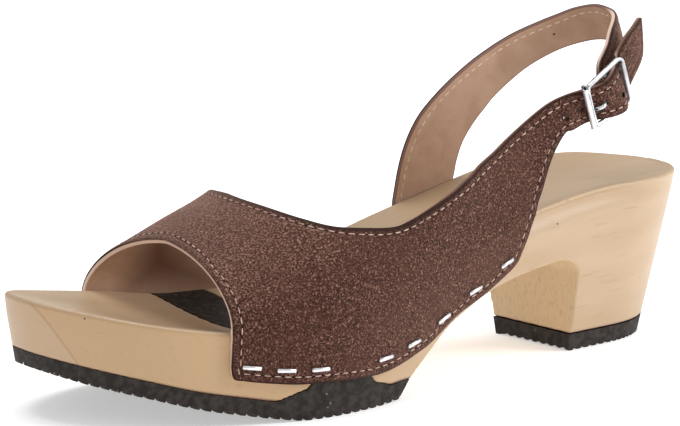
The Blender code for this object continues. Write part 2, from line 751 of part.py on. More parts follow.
def build_upper(material, parent):
    bm = bmesh.new()
    shared = []
    for side, rows in ((1, OUTER_ROWS), (-1, INNER_ROWS)):
        ridge_rows = [row for row in rows if row.top_z == RIDGE]
        ridge_count = 1 + sum(row.steps for row in ridge_rows[:-1])
        grid = []
        for i, row in enumerate(spread(side, rows)):
            on_ridge = i < ridge_count
            line = [bm.verts.new(point) for point in upper_line(side, row, on_ridge)]
            if on_ridge and side > 0:
                shared.append(line[-1])
            elif on_ridge:
                bm.verts.remove(line[-1])
                line[-1] = shared[i]
            grid.append(line)
        for first, second in zip(grid, grid[1:]):
            for k in range(UPPER_LANES):
                corners = (first[k], second[k], second[k + 1], first[k + 1])
                bm.faces.new(corners if side > 0 else corners[::-1])
    upper = add_object("upper", bm, material, parent)
    wall = upper.modifiers.new("wall", "SOLIDIFY")
    wall.thickness = WALL * MM
    wall.offset = -1.0
    wall.use_even_offset = False

    _, _, across, out = buckle_axes()
    eye = wire(bar_span(EYE_HALF), BAR_WIRE + SEAT_GAP + EYE_WALL, EYE_SIDES, out)
    add_boolean(upper, add_cutter("strap_eye", eye, parent), "UNION")
    bore = wire(bar_span(BORE_HALF), BAR_WIRE + SEAT_GAP, EYE_SIDES, out)
    add_boolean(upper, add_cutter("cut_strap_eye", bore, parent), "DIFFERENCE")
    slot = wire(prong_path(), PRONG_WIRE + SLOT_GAP, WIRE_SIDES, across)
    add_boolean(upper, add_cutter("cut_prong_slot", slot, parent), "DIFFERENCE")
    for i, hole in enumerate(HOLES):
        middle = skin_point(1, hole.x, hole.z, hole.out - WALL / 2)
        ends = [middle - out * HOLE_REACH, middle + out * HOLE_REACH]
        cutter = wire(ends, HOLE_RADIUS, WIRE_SIDES, across)
        add_boolean(upper, add_cutter(f"cut_strap_hole_{i + 1}", cutter, parent), "DIFFERENCE")


# Staples

def staple_place(side, x):
    """Matrix of a staple on the lower edge of the upper: along the edge, out of the skin and up."""
    half = STAPLE_LENGTH / 2
    z = lower_edge(x) + STAPLE_RISE
    climb = (lower_edge(x + half) - lower_edge(x - half)) / 2 * STAPLE_SLOPE
    centre = skin_point(side, x, z)
    ahead = (skin_point(side, x + half, z + climb) - skin_point(side, x - half, z - climb)).normalized()
    up = skin_point(side, x, z + 1.0) - centre
    out = ahead.cross(up).normalized() * -side
    centre += out * (STAPLE_HEIGHT / 2 + SEAT_GAP)
    turn = Matrix((ahead, out, ahead.cross(out))).transposed().to_4x4()
    return Matrix.Translation(centre * MM) @ turn


def build_staples(material, parent):
    bm = bmesh.new()
    bmesh.ops.create_cube(bm, size=1.0)
    bmesh.ops.scale(bm, vec=(STAPLE_LENGTH, STAPLE_HEIGHT, STAPLE_WIDTH), verts=bm.verts)
    bmesh.ops.bevel(
        bm, geom=bm.edges[:], offset=STAPLE_EDGE, offset_type="OFFSET", affect="EDGES", segments=1, profile=0.5,
        material=-1,
    )
    first = add_object("staple_outer_1", bm, material, parent)
    for side, place in ((1, "outer"), (-1, "inner")):
        for i, x in enumerate(STAPLE_STATIONS):
            staple = first
            if (side, i) != (1, 0):
                staple = bpy.data.objects.new(f"staple_{place}_{i + 1}", first.data)
                bpy.context.scene.collection.objects.link(staple)
                staple.parent = parent
            staple.matrix_local = staple_place(side, x)


def stand_at_origin(shoe):
    """Set the middle of the shoe's box over the origin, with the sole on the ground."""
    depsgraph = bpy.context.evaluated_depsgraph_get()
    corners = []
    for obj in shoe.children:
        if not obj.hide_render:
            solid = obj.evaluated_get(depsgraph)
            corners += [solid.matrix_world @ Vector(corner) for corner in solid.bound_box]
    for axis in (0, 1):
        reach = [corner[axis] for corner in corners]
        shoe.location[axis] = -(min(reach) + max(reach)) / 2


def main():
    for obj in list(bpy.data.objects):
        bpy.data.objects.remove(obj, do_unlink=True)
    shoe = bpy.data.objects.new("clog_sandal", None)
    bpy.context.scene.collection.objects.link(shoe)
    wood = make_material("pale_wood", (0.66, 0.46, 0.26), 0.45)
    rubber = make_material("dark_rubber", (0.02, 0.018, 0.016), 0.7)
    suede = make_material("brown_suede", (0.13, 0.065, 0.045), 0.95)
    nickel = make_material("bright_nickel", (0.75, 0.75, 0.74), 0.2, 1.0)
    build_toe_block(wood, shoe)
    build_heel_block(wood, shoe)
    build_outsole(rubber, shoe)
    build_heel_tip(rubber, shoe)
    build_upper(suede, shoe)
    build_buckle(nickel, shoe)
    build_staples(nickel, shoe)
    stand_at_origin(shoe)


if __name__ == "__main__":
    main()
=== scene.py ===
"""Looks of a left clog sandal: wooden blocks, ribbed rubber, a stapled suede upper and a nickel buckle.

Sizes are in millimetres on the last: X from the back of the heel seat to the toe, +Y the outer side, Z up.
"""

from collections import namedtuple
import math

import bmesh
import bpy
from mathutils import Euler, Matrix, Vector, noise
from mathutils.bvhtree import BVHTree
from mathutils.kdtree import KDTree


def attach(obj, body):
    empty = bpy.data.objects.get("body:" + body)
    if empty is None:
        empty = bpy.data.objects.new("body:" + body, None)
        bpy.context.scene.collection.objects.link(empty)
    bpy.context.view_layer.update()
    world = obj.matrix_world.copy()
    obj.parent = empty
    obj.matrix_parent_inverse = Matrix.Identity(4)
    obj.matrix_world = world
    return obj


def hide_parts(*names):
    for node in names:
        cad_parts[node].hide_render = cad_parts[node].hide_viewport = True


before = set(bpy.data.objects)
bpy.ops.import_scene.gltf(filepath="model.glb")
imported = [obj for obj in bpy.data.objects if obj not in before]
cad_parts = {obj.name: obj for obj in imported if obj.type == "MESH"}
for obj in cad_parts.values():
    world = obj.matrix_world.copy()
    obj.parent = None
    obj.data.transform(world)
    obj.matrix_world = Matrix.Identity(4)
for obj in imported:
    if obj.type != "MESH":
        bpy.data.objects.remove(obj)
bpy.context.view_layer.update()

# Wooden blocks of the sole: two halves of a carved blank of pale alder, parted under the ball of the foot
# so that the shoe can bend. The walls lean in below a sanded rim, a cove runs under the rim of the heel
# seat, and the dished footbed is left bare.
MM = 0.001
BOX_MIDDLE = Vector((124.979, 1.405, 0.0))
SOLE_LENGTH = 250.0
HEEL_ROUND = 34.0
HEEL_POWER = 2.3
TOE_ROUND = 46.0
TOE_POWER = 2.2
RIM_DEPTH = 7.0
RIM_INSET = 0.5
HEEL_LIP = 1.0
LIP_END = (6.0, 30.0)
HOLLOW_POWER = 1.3
CROSS_SLANT = 0.08
HEEL_TIP_TOP = 6.3
HEEL_STATIONS = 22
MIDDLE_STATIONS = 70
TOE_STATIONS = 26
WALL_LANES = 9
RIM_LANES = (10.0, 8.0, 6.5, 5.2, 4.2, 3.4, 2.8, 2.3)
ARRIS_LANES = 4
FOOTBED_LANES = 18
COVE_DEPTH = 2.0
COVE_TOP = 0.7
COVE_MIDDLE = 2.4
COVE_FOOT = 9.0
COVE_START = (0.0, 60.0)
COVE_END = (95.0, 125.0)
SEAT_LIFT = 1.2
LIFT_START = (0.0, 20.0)
LIFT_END = (50.0, 95.0)
CUT_REACH = 90.0
CUT_BELOW = -20.0
CUT_ABOVE = 120.0
CUT_BACK = -60.0
CUT_FRONT = 300.0
BREAST_X = 57.3
BREAST_TOP = 33.8
BREAST_REACH = 9.3
BREAST_RISE = 6.0
BREAST_STEPS = 24
SHANK_STEPS = 40
SANDING_VOXEL = 0.55
SANDING_PASSES = 3
SANDING_LOSS = 0.35
SANDING_KEPT = 0.45
SANDING_FACTOR = 0.5
MERGE_GAP = 0.01
TOE_BLOCK_START = 168.0
HEEL_BLOCK_END = 175.0

# Outline of the sole: x, centre line, half width, height of the footbed edge, hollow of the footbed, edge
# rounding and the inward lean of the outer and inner side walls
CENTRE, HALF, EDGE, HOLLOW, ROUNDING, OUTER_LEAN, INNER_LEAN = range(1, 8)
SOLE = (
    (0, -3.2, 26.4, 57.8, 0.5, 1.2, 0.24, 0.22),
    (38, -1.3, 30.1, 58, 3, 1.2, 0.22, 0.23),
    (75, 0.7, 29.5, 53.5, 2.5, 1.2, 0.18, 0.20),
    (112, 3, 33.8, 43.7, 2.5, 1, 0.13, 0.13),
    (150, 3.8, 41.5, 28.1, 4, 1, 0.08, 0.08),
    (175, 2.2, 44.7, 26.7, 4.5, 1, 0.07, 0.07),
    (200, -2.2, 42.2, 30.1, 3.5, 1, 0.08, 0.08),
    (225, -7.3, 37.8, 34.2, 2, 1, 0.10, 0.10),
    (250, -15.5, 30.8, 39.7, 0, 1.2, 0.14, 0.14),
)

# Undersides of the forefoot's wood and of the shank by x and z, and the flex joint's faces by height
FOREFOOT = (
    (140, 6.6), (152, 6.2), (178, 6.2), (189, 7.4), (199, 9.4), (212, 12.2), (225, 15.8), (240, 19.8),
    (250, 22.6),
)
SHANK = (
    (66.6, 33.8), (70.9, 33.4), (76.1, 32.6), (89.6, 30.5), (99.9, 28.2), (109.8, 24.7), (119.6, 20.3),
    (129.5, 13.4), (139.8, 5.8),
)
SHANK_END = SHANK[-1][0]
Joint = namedtuple("Joint", "z toe_face heel_face")
JOINT = (
    Joint(4, 194, 144),
    Joint(6.6, 193.4, 149.5),
    Joint(8.4, 188.5, 155.7),
    Joint(10.3, 182.6, 157.4),
    Joint(12.5, 180.2, 158),
    Joint(26, 180.6, 161.7),
    Joint(34, 180.8, 163.6),
)


def on_frame(point):
    """Point of the last, in millimetres, as a place in the frame, in metres."""
    return (point - BOX_MIDDLE) * MM


def smooth(table, x, column=1):
    """Value of a table's column at x, on a curve through its rows that never passes beyond them."""
    rows = [(row[0], row[column]) for row in table]
    x = min(max(x, rows[0][0]), rows[-1][0])
    last = len(rows) - 2
    i = 0
    while i < last and x > rows[i + 1][0]:
        i += 1
    steps = [(rows[k + 1][1] - rows[k][1]) / (rows[k + 1][0] - rows[k][0]) for k in range(len(rows) - 1)]

    def slope(k):
        if k in (0, len(steps)):
            return steps[min(k, len(steps) - 1)]
        return (steps[k - 1] + steps[k]) / 2 if steps[k - 1] * steps[k] > 0 else 0.0

    width = rows[i + 1][0] - rows[i][0]
    t = (x - rows[i][0]) / width
    value = rows[i][1] * (1 + 2 * t) * (1 - t) ** 2 + rows[i + 1][1] * t * t * (3 - 2 * t)
    return value + width * t * (1 - t) * (slope(i) * (1 - t) - slope(i + 1) * t)


def ease(start, end, x):
    t = min(1.0, max(0.0, (x - start) / (end - start)))
    return t * t * (3 - 2 * t)


def outline(side, x):
    """Y of the footbed edge, on the outer side for +1 and the inner side for -1."""
    heel = min(1.0, max(0.0, (HEEL_ROUND - x) / HEEL_ROUND))
    toe = min(1.0, max(0.0, (x - SOLE_LENGTH + TOE_ROUND) / TOE_ROUND))
    narrowing = (1 - heel ** HEEL_POWER) ** (1 / HEEL_POWER) * (1 - toe ** TOE_POWER) ** (1 / TOE_POWER)
    return smooth(SOLE, x, CENTRE) + side * smooth(SOLE, x, HALF) * narrowing


def edge(x):
    return smooth(SOLE, x, EDGE)


def inward(side, x):
    """Level direction from the footbed edge into the sole."""
    if x >= SOLE_LENGTH:
        return Vector((-1.0, 0.0, 0.0))
    if x <= 0.0:
        return Vector((1.0, 0.0, 0.0))
    h = min(0.01, x / 2, (SOLE_LENGTH - x) / 2)
    slope = (outline(side, x + h) - outline(side, x - h)) / (2 * h)
    return Vector((side * slope, -side, 0.0)).normalized()


def cove(x, depth):
    """How far the wall is hollowed below the rim of the heel seat."""
    hollow = ease(COVE_TOP, COVE_MIDDLE, depth) * (1 - ease(COVE_MIDDLE, COVE_FOOT, depth))
    return COVE_DEPTH * hollow * ease(*COVE_START, x) * (1 - ease(*COVE_END, x))


def wall_point(side, x, z, inset=0.0):
    """Point of the sole's side wall below the footbed edge at x."""
    depth = edge(x) - z
    share = min(1.0, depth / RIM_DEPTH)
    rim = share * RIM_INSET - (1 - share) * HEEL_LIP * (1 - ease(*LIP_END, x))
    leans = (smooth(SOLE, x, OUTER_LEAN), smooth(SOLE, x, INNER_LEAN))
    lean = leans[0] if side > 0 else leans[1]
    if x in (0.0, SOLE_LENGTH):
        lean = (leans[0] + leans[1]) / 2
    offset = inset + rim + lean * max(0.0, depth - RIM_DEPTH)
    return Vector((x, outline(side, x), z)) + inward(side, x) * offset


def blank_section(x, bottom, inset=0.0):
    """Closed section of the wooden blank at x: outer wall, footbed, inner wall and underside."""
    rounding = smooth(SOLE, x, ROUNDING)
    walls = {}
    for side in (1, -1):
        top = edge(x)
        if side < 0:
            top += SEAT_LIFT * ease(*LIFT_START, x) * (1 - ease(*LIFT_END, x))
        low = [bottom + (top - RIM_LANES[0] - bottom) * k / WALL_LANES for k in range(WALL_LANES)]
        wall = [wall_point(side, x, z, inset) for z in low]
        wall += [wall_point(side, x, top - depth, inset + cove(x, depth)) for depth in RIM_LANES]
        for k in range(ARRIS_LANES + 1):
            turn = math.pi / 2 * k / ARRIS_LANES
            depth = rounding * (1 - math.sin(turn))
            turned = inset + rounding * (1 - math.cos(turn)) + cove(x, depth)
            wall.append(wall_point(side, x, top - depth, turned))
        walls[side] = wall
    hollow = smooth(SOLE, x, HOLLOW)
    middle = []
    for k in range(1, FOOTBED_LANES):
        lane = 1 - 2 * k / FOOTBED_LANES
        point = walls[1][-1].lerp(walls[-1][-1], (1 - lane) / 2)
        point.z -= hollow * (1 - lane * lane) ** HOLLOW_POWER
        middle.append(point)
    return walls[1] + middle + walls[-1][::-1] + walls[1][:1]


def add_sheet(bm, points):
    """Grid of faces bent through rows of points that are given on the last."""
    rows = len(points) - 1
    lanes = len(points[0]) - 1
    grid = bmesh.ops.create_grid(bm, x_segments=rows, y_segments=lanes, size=0.5)
    for vert in grid["verts"]:
        i = round((vert.co.x + 0.5) * rows)
        k = round((vert.co.y + 0.5) * lanes)
        vert.co = on_frame(points[i][k])
    return grid["verts"]


def add_piece(name, bm):
    """Smooth-shaded object at the origin from a bmesh in the frame."""
    mesh = bpy.data.meshes.new(name)
    bm.to_mesh(mesh)
    bm.free()
    mesh.shade_smooth()
    piece = bpy.data.objects.new(name, mesh)
    bpy.context.scene.collection.objects.link(piece)
    return piece


def loft(name, *skins):
    """Piece whose closed skins run through rings of points."""
    bm = bmesh.new()
    for rings in skins:
        bmesh.ops.remove_doubles(bm, verts=add_sheet(bm, rings), dist=MERGE_GAP * MM)
        bmesh.ops.holes_fill(bm, edges=[item for item in bm.edges if item.is_boundary])
        bmesh.ops.recalc_face_normals(bm, faces=bm.faces)
    return add_piece(name, bm)


def combine(piece, operation, other):
    """Joins a piece with another, or cuts it by the other, when it is settled."""
    modifier = piece.modifiers.new(operation, "BOOLEAN")
    modifier.operation = operation
    modifier.object = other


def settle(piece, *cutters):
    """Fixes a piece's modifiers in its mesh and removes the cutters that they used."""
    depsgraph = bpy.context.evaluated_depsgraph_get()
    mesh = bpy.data.meshes.new_from_object(piece.evaluated_get(depsgraph))
    piece.modifiers.clear()
    piece.data = mesh
    mesh.name = piece.name
    mesh.shade_smooth()
    for cutter in cutters:
        bpy.data.objects.remove(cutter, do_unlink=True)


def add_prism(name, profile):
    """Cutter with a side profile, carried across the shoe along the slant of its cross lines."""
    bm = bmesh.new()
    near = [bm.verts.new(on_frame(Vector((x + CROSS_SLANT * CUT_REACH, -CUT_REACH, z)))) for x, z in profile]
    grown = bmesh.ops.extrude_face_region(bm, geom=[bm.faces.new(near)], use_keep_orig=True)["geom"]
    far = [item for item in grown if isinstance(item, bmesh.types.BMVert)]
    across = Vector((-CROSS_SLANT, 1.0, 0.0)) * 2 * CUT_REACH * MM
    bmesh.ops.translate(bm, vec=across, verts=far)
    bmesh.ops.recalc_face_normals(bm, faces=bm.faces)
    return add_piece(name, bm)


def carve(name, stations, bottom, profile):
    """Wooden block: a blank through stations, cut to a side profile and sanded round at its arrises."""
    block = loft(name, [blank_section(x, bottom(x) - SANDING_LOSS) for x in stations])
    cutter = add_prism(name + "_cut", profile)
    combine(block, "INTERSECT", cutter)
    sanding = block.modifiers.new("sanding", "REMESH")
    sanding.mode = "VOXEL"
    sanding.voxel_size = SANDING_VOXEL * MM
    soften = block.modifiers.new("soften", "SMOOTH")
    soften.factor = SANDING_FACTOR
    soften.iterations = SANDING_PASSES
    block.modifiers.new("thin", "DECIMATE").ratio = SANDING_KEPT
    settle(block, cutter)
    return block


def forefoot(x):
    return smooth(FOREFOOT, x)


quarter = math.pi / 2
heel_end = [HEEL_ROUND * (1 - math.cos(quarter * k / HEEL_STATIONS)) for k in range(HEEL_STATIONS)]
straight = SOLE_LENGTH - HEEL_ROUND - TOE_ROUND
middle = [HEEL_ROUND + straight * k / MIDDLE_STATIONS for k in range(MIDDLE_STATIONS)]
toe_turns = [quarter * k / TOE_STATIONS for k in range(TOE_STATIONS + 1)]
toe_end = [SOLE_LENGTH - TOE_ROUND * (1 - math.sin(turn)) for turn in toe_turns]
stations = heel_end + middle + toe_end

toe_profile = [(JOINT[0].toe_face, CUT_BELOW)] + [(row.toe_face, row.z) for row in JOINT]
toe_profile += [(JOINT[-1].toe_face, CUT_ABOVE), (CUT_FRONT, CUT_ABOVE), (CUT_FRONT, CUT_BELOW)]
toe_block = carve("wood_toe_block", [x for x in stations if x > TOE_BLOCK_START], forefoot, toe_profile)

breast_line = [(BREAST_X, CUT_BELOW)]
for k in range(BREAST_STEPS + 1):
    turn = quarter * k / BREAST_STEPS
    x = BREAST_X + BREAST_REACH * (1 - math.cos(turn))
    breast_line.append((x, BREAST_TOP - BREAST_RISE * (1 - math.sin(turn))))
shank_start = BREAST_X + BREAST_REACH
for k in range(1, SHANK_STEPS + 1):
    x = shank_start + (SHANK_END - shank_start) * k / SHANK_STEPS
    breast_line.append((x, smooth(SHANK, x)))
heel_profile = [(CUT_BACK, CUT_BELOW)] + breast_line
heel_profile += [(SHANK_END, CUT_BELOW), (JOINT[0].heel_face, CUT_BELOW)]
heel_profile += [(row.heel_face, row.z) for row in JOINT]
heel_profile += [(JOINT[-1].heel_face, CUT_ABOVE), (CUT_BACK, CUT_ABOVE)]
heel_block = carve(
    "wood_heel_block",
    [x for x in stations if x < HEEL_BLOCK_END],
    lambda x: max(HEEL_TIP_TOP, forefoot(x)),
    heel_profile,
)


def tone(red, green, blue):
    """Colour from display values of 0 to 255."""
    values = [value / 255 for value in (red, green, blue)]
    linear = [((value + 0.055) / 1.055) ** 2.4 if value > 0.04045 else value / 12.92 for value in values]
    return (*linear, 1.0)


def new_material(name):
    material = bpy.data.materials.new(name)
    material.use_nodes = True
    return material


def feed(material, node, sockets):
    """Sets a node's sockets or links them."""
    for name, value in sockets.items():
        if isinstance(value, bpy.types.NodeSocket):
            material.node_tree.links.new(value, node.inputs[name])
        else:
            node.inputs[name].default_value = value


def set_shader(material, sockets):
    feed(material, material.node_tree.nodes["Principled BSDF"], sockets)


def add_node(material, kind, sockets, **settings):
    """Node with its settings made and its sockets set or linked."""
    node = material.node_tree.nodes.new("ShaderNode" + kind)
    for name, value in settings.items():
        setattr(node, name, value)
    feed(material, node, sockets)
    return node


def calc(material, operation, *values):
    return add_node(material, "Math", dict(enumerate(values)), operation=operation).outputs[0]


def mark(material, name):
    """Value that a mesh carries at its points."""
    return add_node(material, "Attribute", {}, attribute_name=name).outputs["Fac"]


def mix(material, share, first, second):
    """Colour between two others."""
    return add_node(material, "Mix", {0: share, 6: first, 7: second}, data_type="RGBA").outputs[2]


def level(material, value, low, high, start=0.0, end=1.0):
    """Value taken from one range to another, softly and within it."""
    sockets = {"Value": value, "From Min": low, "From Max": high, "To Min": start, "To Max": end}
    return add_node(material, "MapRange", sockets, interpolation_type="SMOOTHSTEP").outputs["Result"]


def shade(material, value, low, high, first, second, start=0.0, end=1.0):
    """Colour that goes from one to another with the level of a value."""
    return mix(material, level(material, value, low, high, start, end), first, second)


def stretched(material, scale):
    """Object coordinates, scaled alike or by a number for each axis."""
    place = add_node(material, "TexCoord", {}).outputs["Object"]
    sizes = scale if isinstance(scale, tuple) else (scale, scale, scale)
    return add_node(material, "Mapping", {"Vector": place, "Scale": sizes}).outputs["Vector"]


def speckle(material, scale, detail=2.0, roughness=0.5):
    """Noise on scaled Object coordinates."""
    sockets = {"Vector": stretched(material, scale), "Scale": 1.0, "Detail": detail, "Roughness": roughness}
    return add_node(material, "TexNoise", sockets).outputs["Fac"]


def cells(material, scale):
    """Distance from the middles of cells on scaled Object coordinates."""
    sockets = {"Vector": stretched(material, scale), "Scale": 1.0}
    return add_node(material, "TexVoronoi", sockets).outputs["Distance"]


def bump(material, height, strength, distance):
    sockets = {"Height": height, "Strength": strength, "Distance": distance}
    return add_node(material, "Bump", sockets).outputs["Normal"]


def dot(material, colour, piece, point, inner, outer, dark):
    """Colour with a dark dot where a point of the last meets a piece."""
    spot = piece.closest_point_on_mesh(on_frame(Vector(point)))[1]
    place = add_node(material, "TexCoord", {}).outputs["Object"]
    gap = add_node(material, "VectorMath", {0: place, 1: spot}, operation="DISTANCE").outputs["Value"]
    return shade(material, gap, inner * MM, outer * MM, colour, dark, 1.0, 0.0)


wood = new_material("pale_alder")
GRAIN_LIGHT = tone(187, 161, 131)
GRAIN_DARK = tone(179, 151, 119)
WARM_SIDE_LIGHT = tone(188, 154, 114)
FLECK = tone(150, 118, 84)
PORE = tone(70, 44, 28)
BREAST_LIT_TONE = tone(206, 178, 138)
BREAST_FLECK = tone(172, 138, 96)
WEDGE_TONE = tone(190, 163, 140)
GLUE = tone(84, 46, 34)
PORES = ((213.8, -28.3, 30.7), (239.3, 11.3, 35.7), (67.4, 29.2, 47.4))
PORE_RADIUS = 0.4
colour = shade(wood, speckle(wood, (9.0, 60.0, 60.0), 3.0), 0.32, 0.68, GRAIN_DARK, GRAIN_LIGHT)
# Painted warm light: a warmer tone is laid on the side walls of the forefoot where they face sideways,
# against the cooler light on the tops.
side_wall_light = mark(wood, "side_wall_light")
colour = mix(wood, side_wall_light, colour, WARM_SIDE_LIGHT)
fine = speckle(wood, (60.0, 900.0, 900.0))
colour = shade(wood, fine, 0.58, 0.8, colour, FLECK, 0.0, 0.3)
for block, point in zip((toe_block, toe_block, heel_block), PORES):
    colour = dot(wood, colour, block, point, 0.6 * PORE_RADIUS, PORE_RADIUS, PORE)
# The rough breast keeps its own flecks, but its tone is painted lighter than the side walls: painted fill
# light on a face that turns down, away from the lamps.
upright = speckle(wood, (1300.0, 1300.0, 420.0), 3.0)
rough_lit_tone = shade(wood, upright, 0.5, 0.75, BREAST_LIT_TONE, BREAST_FLECK, 0.0, 0.6)
colour = mix(wood, mark(wood, "breast"), colour, rough_lit_tone)
wedge = mark(wood, "wedge")
colour = shade(wood, wedge, 0.0, 0.5, colour, WEDGE_TONE, 0.0, 0.35)
# The scarf line shows only on the side walls, under the same mask as the painted warm light.
scarf_line = level(wood, calc(wood, "ABSOLUTE", wedge), 0.08, 0.3, 0.5, 0.0)
colour = mix(wood, calc(wood, "MULTIPLY", scarf_line, side_wall_light), colour, FLECK)
set_shader(wood, {
    "Base Color": mix(wood, mark(wood, "glue"), colour, GLUE),
    "Normal": bump(wood, fine, 0.08, 0.0004),
    "Roughness": 0.42,
    "Coat Weight": 0.12,
    "Coat Roughness": 0.35,
})

# The wedge is a scarfed piece at the tip of the toe: its joint slopes back from SCARF_TOP by SCARF_SLOPE
SCARF_TOP = (247.6, 36.6)
SCARF_SLOPE = 0.466
GLUE_LINE = 0.8
HEEL_GLUE_END = 100.0
BREAST_SAMPLES = 200
BREAST_FADE = (0.12, 0.4)
WARM_FACING = (0.3, 0.7)
WARM_SPAN = (120.0, 190.0)


def tree_of(points):
    """Search tree of points."""
    tree = KDTree(len(points))
    for i, point in enumerate(points):
        tree.insert(point, i)
    tree.balance()
    return tree


breast_samples = []
for (x, z), (next_x, next_z) in zip(breast_line, breast_line[1:]):
    for k in range(BREAST_SAMPLES):
        share = k / BREAST_SAMPLES
        breast_samples.append(Vector((x, 0.0, z)).lerp(Vector((next_x, 0.0, next_z)), share))
breast_tree = tree_of(breast_samples)


def mark_points(piece, values):
    """Marks a piece's points with named values that follow from their places on the last."""
    rows = [values(vert, vert.co / MM + BOX_MIDDLE) for vert in piece.data.vertices]
    for name in rows[0]:
        marks = piece.data.attributes.new(name, "FLOAT", "POINT").data
        marks.foreach_set("value", [row[name] for row in rows])


def wood_marks(vert, point):
    """Where the rough breast with its tone painted lighter, the scarfed wedge, the painted warm light on the
    side walls and the glue line are.
    """
    gap = breast_tree.find((point.x + CROSS_SLANT * point.y, 0.0, point.z))[2]
    bottom = HEEL_TIP_TOP if point.x < HEEL_GLUE_END else forefoot(point.x)
    return {
        "breast": 1 - ease(*BREAST_FADE, gap),
        "wedge": point.x - SCARF_TOP[0] + SCARF_SLOPE * (SCARF_TOP[1] - point.z),
        "side_wall_light": (1 - ease(*WARM_FACING, vert.normal.z)) * ease(*WARM_SPAN, point.x),
        "glue": 1 - ease(0.0, GLUE_LINE, point.z - bottom),
    }


for block, node in ((toe_block, "sole_toe_block"), (heel_block, "sole_heel_block")):
    mark_points(block, wood_marks)
    block.data.materials.append(wood)
    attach(block, "root")
    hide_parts(node)

# Rubber treads: a ribbed sheet under the forefoot, whose thick rib fills the gap between the wooden halves,
# and a ribbed tip under the heel. Both are moulded of near-black crumb rubber and cemented to the wood.
rubber = new_material("crumb_rubber")
RUBBER_DARK = tone(28, 22, 18)
RUBBER_LIGHT = tone(56, 49, 44)
RUBBER_SPECK = tone(140, 130, 120)
crumb = speckle(rubber, 420.0, 4.0)
colour = shade(rubber, crumb, 0.35, 0.7, RUBBER_DARK, RUBBER_LIGHT)
set_shader(rubber, {
    "Base Color": shade(rubber, cells(rubber, 150.0), 0.03, 0.06, colour, RUBBER_SPECK, 0.8, 0.0),
    "Normal": bump(rubber, crumb, 0.3, 0.0004),
    "Roughness": 0.7,
    "Specular IOR Level": 0.3,
})
SEAT_GAP = 0.3
LUG_PITCH = 3.7
LUG_DEPTH = 0.9
LUG_LAND = (0.5, 0.68)
LUG_RISE = (0.85, 1.0)
LUG_REACH = 2.2
LUG_SHARE = 0.3
LUG_FOOT = 0.9
STATION_STEP = 0.4
RIM_STEPS = 4000
HEEL_RIBS = 8
HEEL_RIB_RISE = 0.5
TREAD = (
    (120, 1.6), (140, 0.6), (152, 0), (178, 0), (189, 1.4), (199, 3.4), (212, 6.2), (225, 9.8),
    (240, 13.8), (250, 17.1),
)
OUTSOLE_START = 130.0
OUTSOLE_END_X = 145.0
OUTSOLE_END_SLOPE = 0.87
OUTSOLE_END_REACH = 6.9
HEEL_TIP_END = 66.0
FLEX_RIB_SPAN = (146.0, 198.0)
FLEX_RIB_SECTIONS = 28
FLEX_RIB_INSET = 0.05
FLEX_RIB_ROOT = 3.0
FLEX_RIB_FOOT = 5.0
RUBBER_CREASE = math.radians(28.0)


def rim_stations(first, last):
    """Stations at even steps along the rims, with the lengths of the outer and inner rim so far."""
    spots = []
    lengths = {1: 0.0, -1: 0.0}
    walked = STATION_STEP
    before = {side: Vector((first, outline(side, first))) for side in (1, -1)}
    for k in range(RIM_STEPS + 1):
        turn = quarter * k / RIM_STEPS
        x = first + (last - first) * (1 - math.cos(turn) if first < HEEL_ROUND else math.sin(turn))
        for side in (1, -1):
            here = Vector((x, outline(side, x)))
            step = (here - before[side]).length
            lengths[side] += step
            before[side] = here
            walked += step / 2
        if walked >= STATION_STEP or k == RIM_STEPS:
            spots.append((x, lengths[1], lengths[-1]))
            walked = 0.0
    return spots


def notch(length):
    """Depth of the notches between the lugs at a length along the rim."""
    share = length / LUG_PITCH % 1.0
    return LUG_DEPTH * ease(*LUG_LAND, share) * (1 - ease(*LUG_RISE, share))


def tread_section(x, top, ground, outer_length, inner_length, ribs=0):
    """Closed section of a rubber tread at x: lugs at both rims, and a recess with ribs between them."""
    low = {}
    for side, length in ((1, outer_length), (-1, inner_length)):
        low[side] = wall_point(side, x, ground + notch(length))
    high = {side: wall_point(side, x, top) for side in (1, -1)}
    reach = min(LUG_SHARE, LUG_REACH / max(0.01, (low[1] - low[-1]).length))
    under = [low[1], low[1].lerp(low[-1], LUG_FOOT * reach)]
    under[1].z = low[1].z
    lanes = max(1, 4 * ribs)
    for k in range(lanes + 1):
        point = low[1].lerp(low[-1], reach + (1 - 2 * reach) * k / lanes)
        point.z = ground + LUG_DEPTH - (HEEL_RIB_RISE if k % 4 > 1 else 0.0)
        under.append(point)
    under += [low[-1].lerp(low[1], LUG_FOOT * reach), low[-1]]
    under[-2].z = low[-1].z
    ring = [high[1]] + under + [high[-1], high[-1].lerp(high[1], 0.5)]
    return ring + ring[:1]


def add_tread(name, node, sections, profile, filler=None):
    """Rubber tread lofted through sections, cut to a side profile and joined with a filler."""
    tread = loft(name, sections)
    others = [add_prism(name + "_cut", profile)]
    combine(tread, "INTERSECT", others[0])
    if filler:
        combine(tread, "UNION", filler)
        others.append(filler)
    settle(tread, *others)
    tread.data.set_sharp_from_angle(angle=RUBBER_CREASE)
    tread.data.materials.clear()
    tread.data.materials.append(rubber)
    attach(tread, "root")
    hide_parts(node)


sections = []
for k in range(FLEX_RIB_SECTIONS):
    x = FLEX_RIB_SPAN[0] + (FLEX_RIB_SPAN[1] - FLEX_RIB_SPAN[0]) * k / (FLEX_RIB_SECTIONS - 1)
    sections.append(blank_section(x, FLEX_RIB_ROOT, FLEX_RIB_INSET))
flex_rib = loft("flex_rib", sections)
toe_side = [(row.toe_face - SEAT_GAP, row.z) for row in JOINT]
heel_side = [(row.heel_face + SEAT_GAP, row.z) for row in JOINT]
rib_profile = [(heel_side[0][0] + FLEX_RIB_FOOT, 0.0), (toe_side[0][0] - FLEX_RIB_FOOT, 0.0)] + toe_side[1:]
rib_profile += [(toe_side[-1][0], CUT_ABOVE), (heel_side[-1][0], CUT_ABOVE)] + heel_side[:0:-1]
rib_cut = add_prism("flex_rib_cut", rib_profile)
combine(flex_rib, "INTERSECT", rib_cut)
settle(flex_rib, rib_cut)

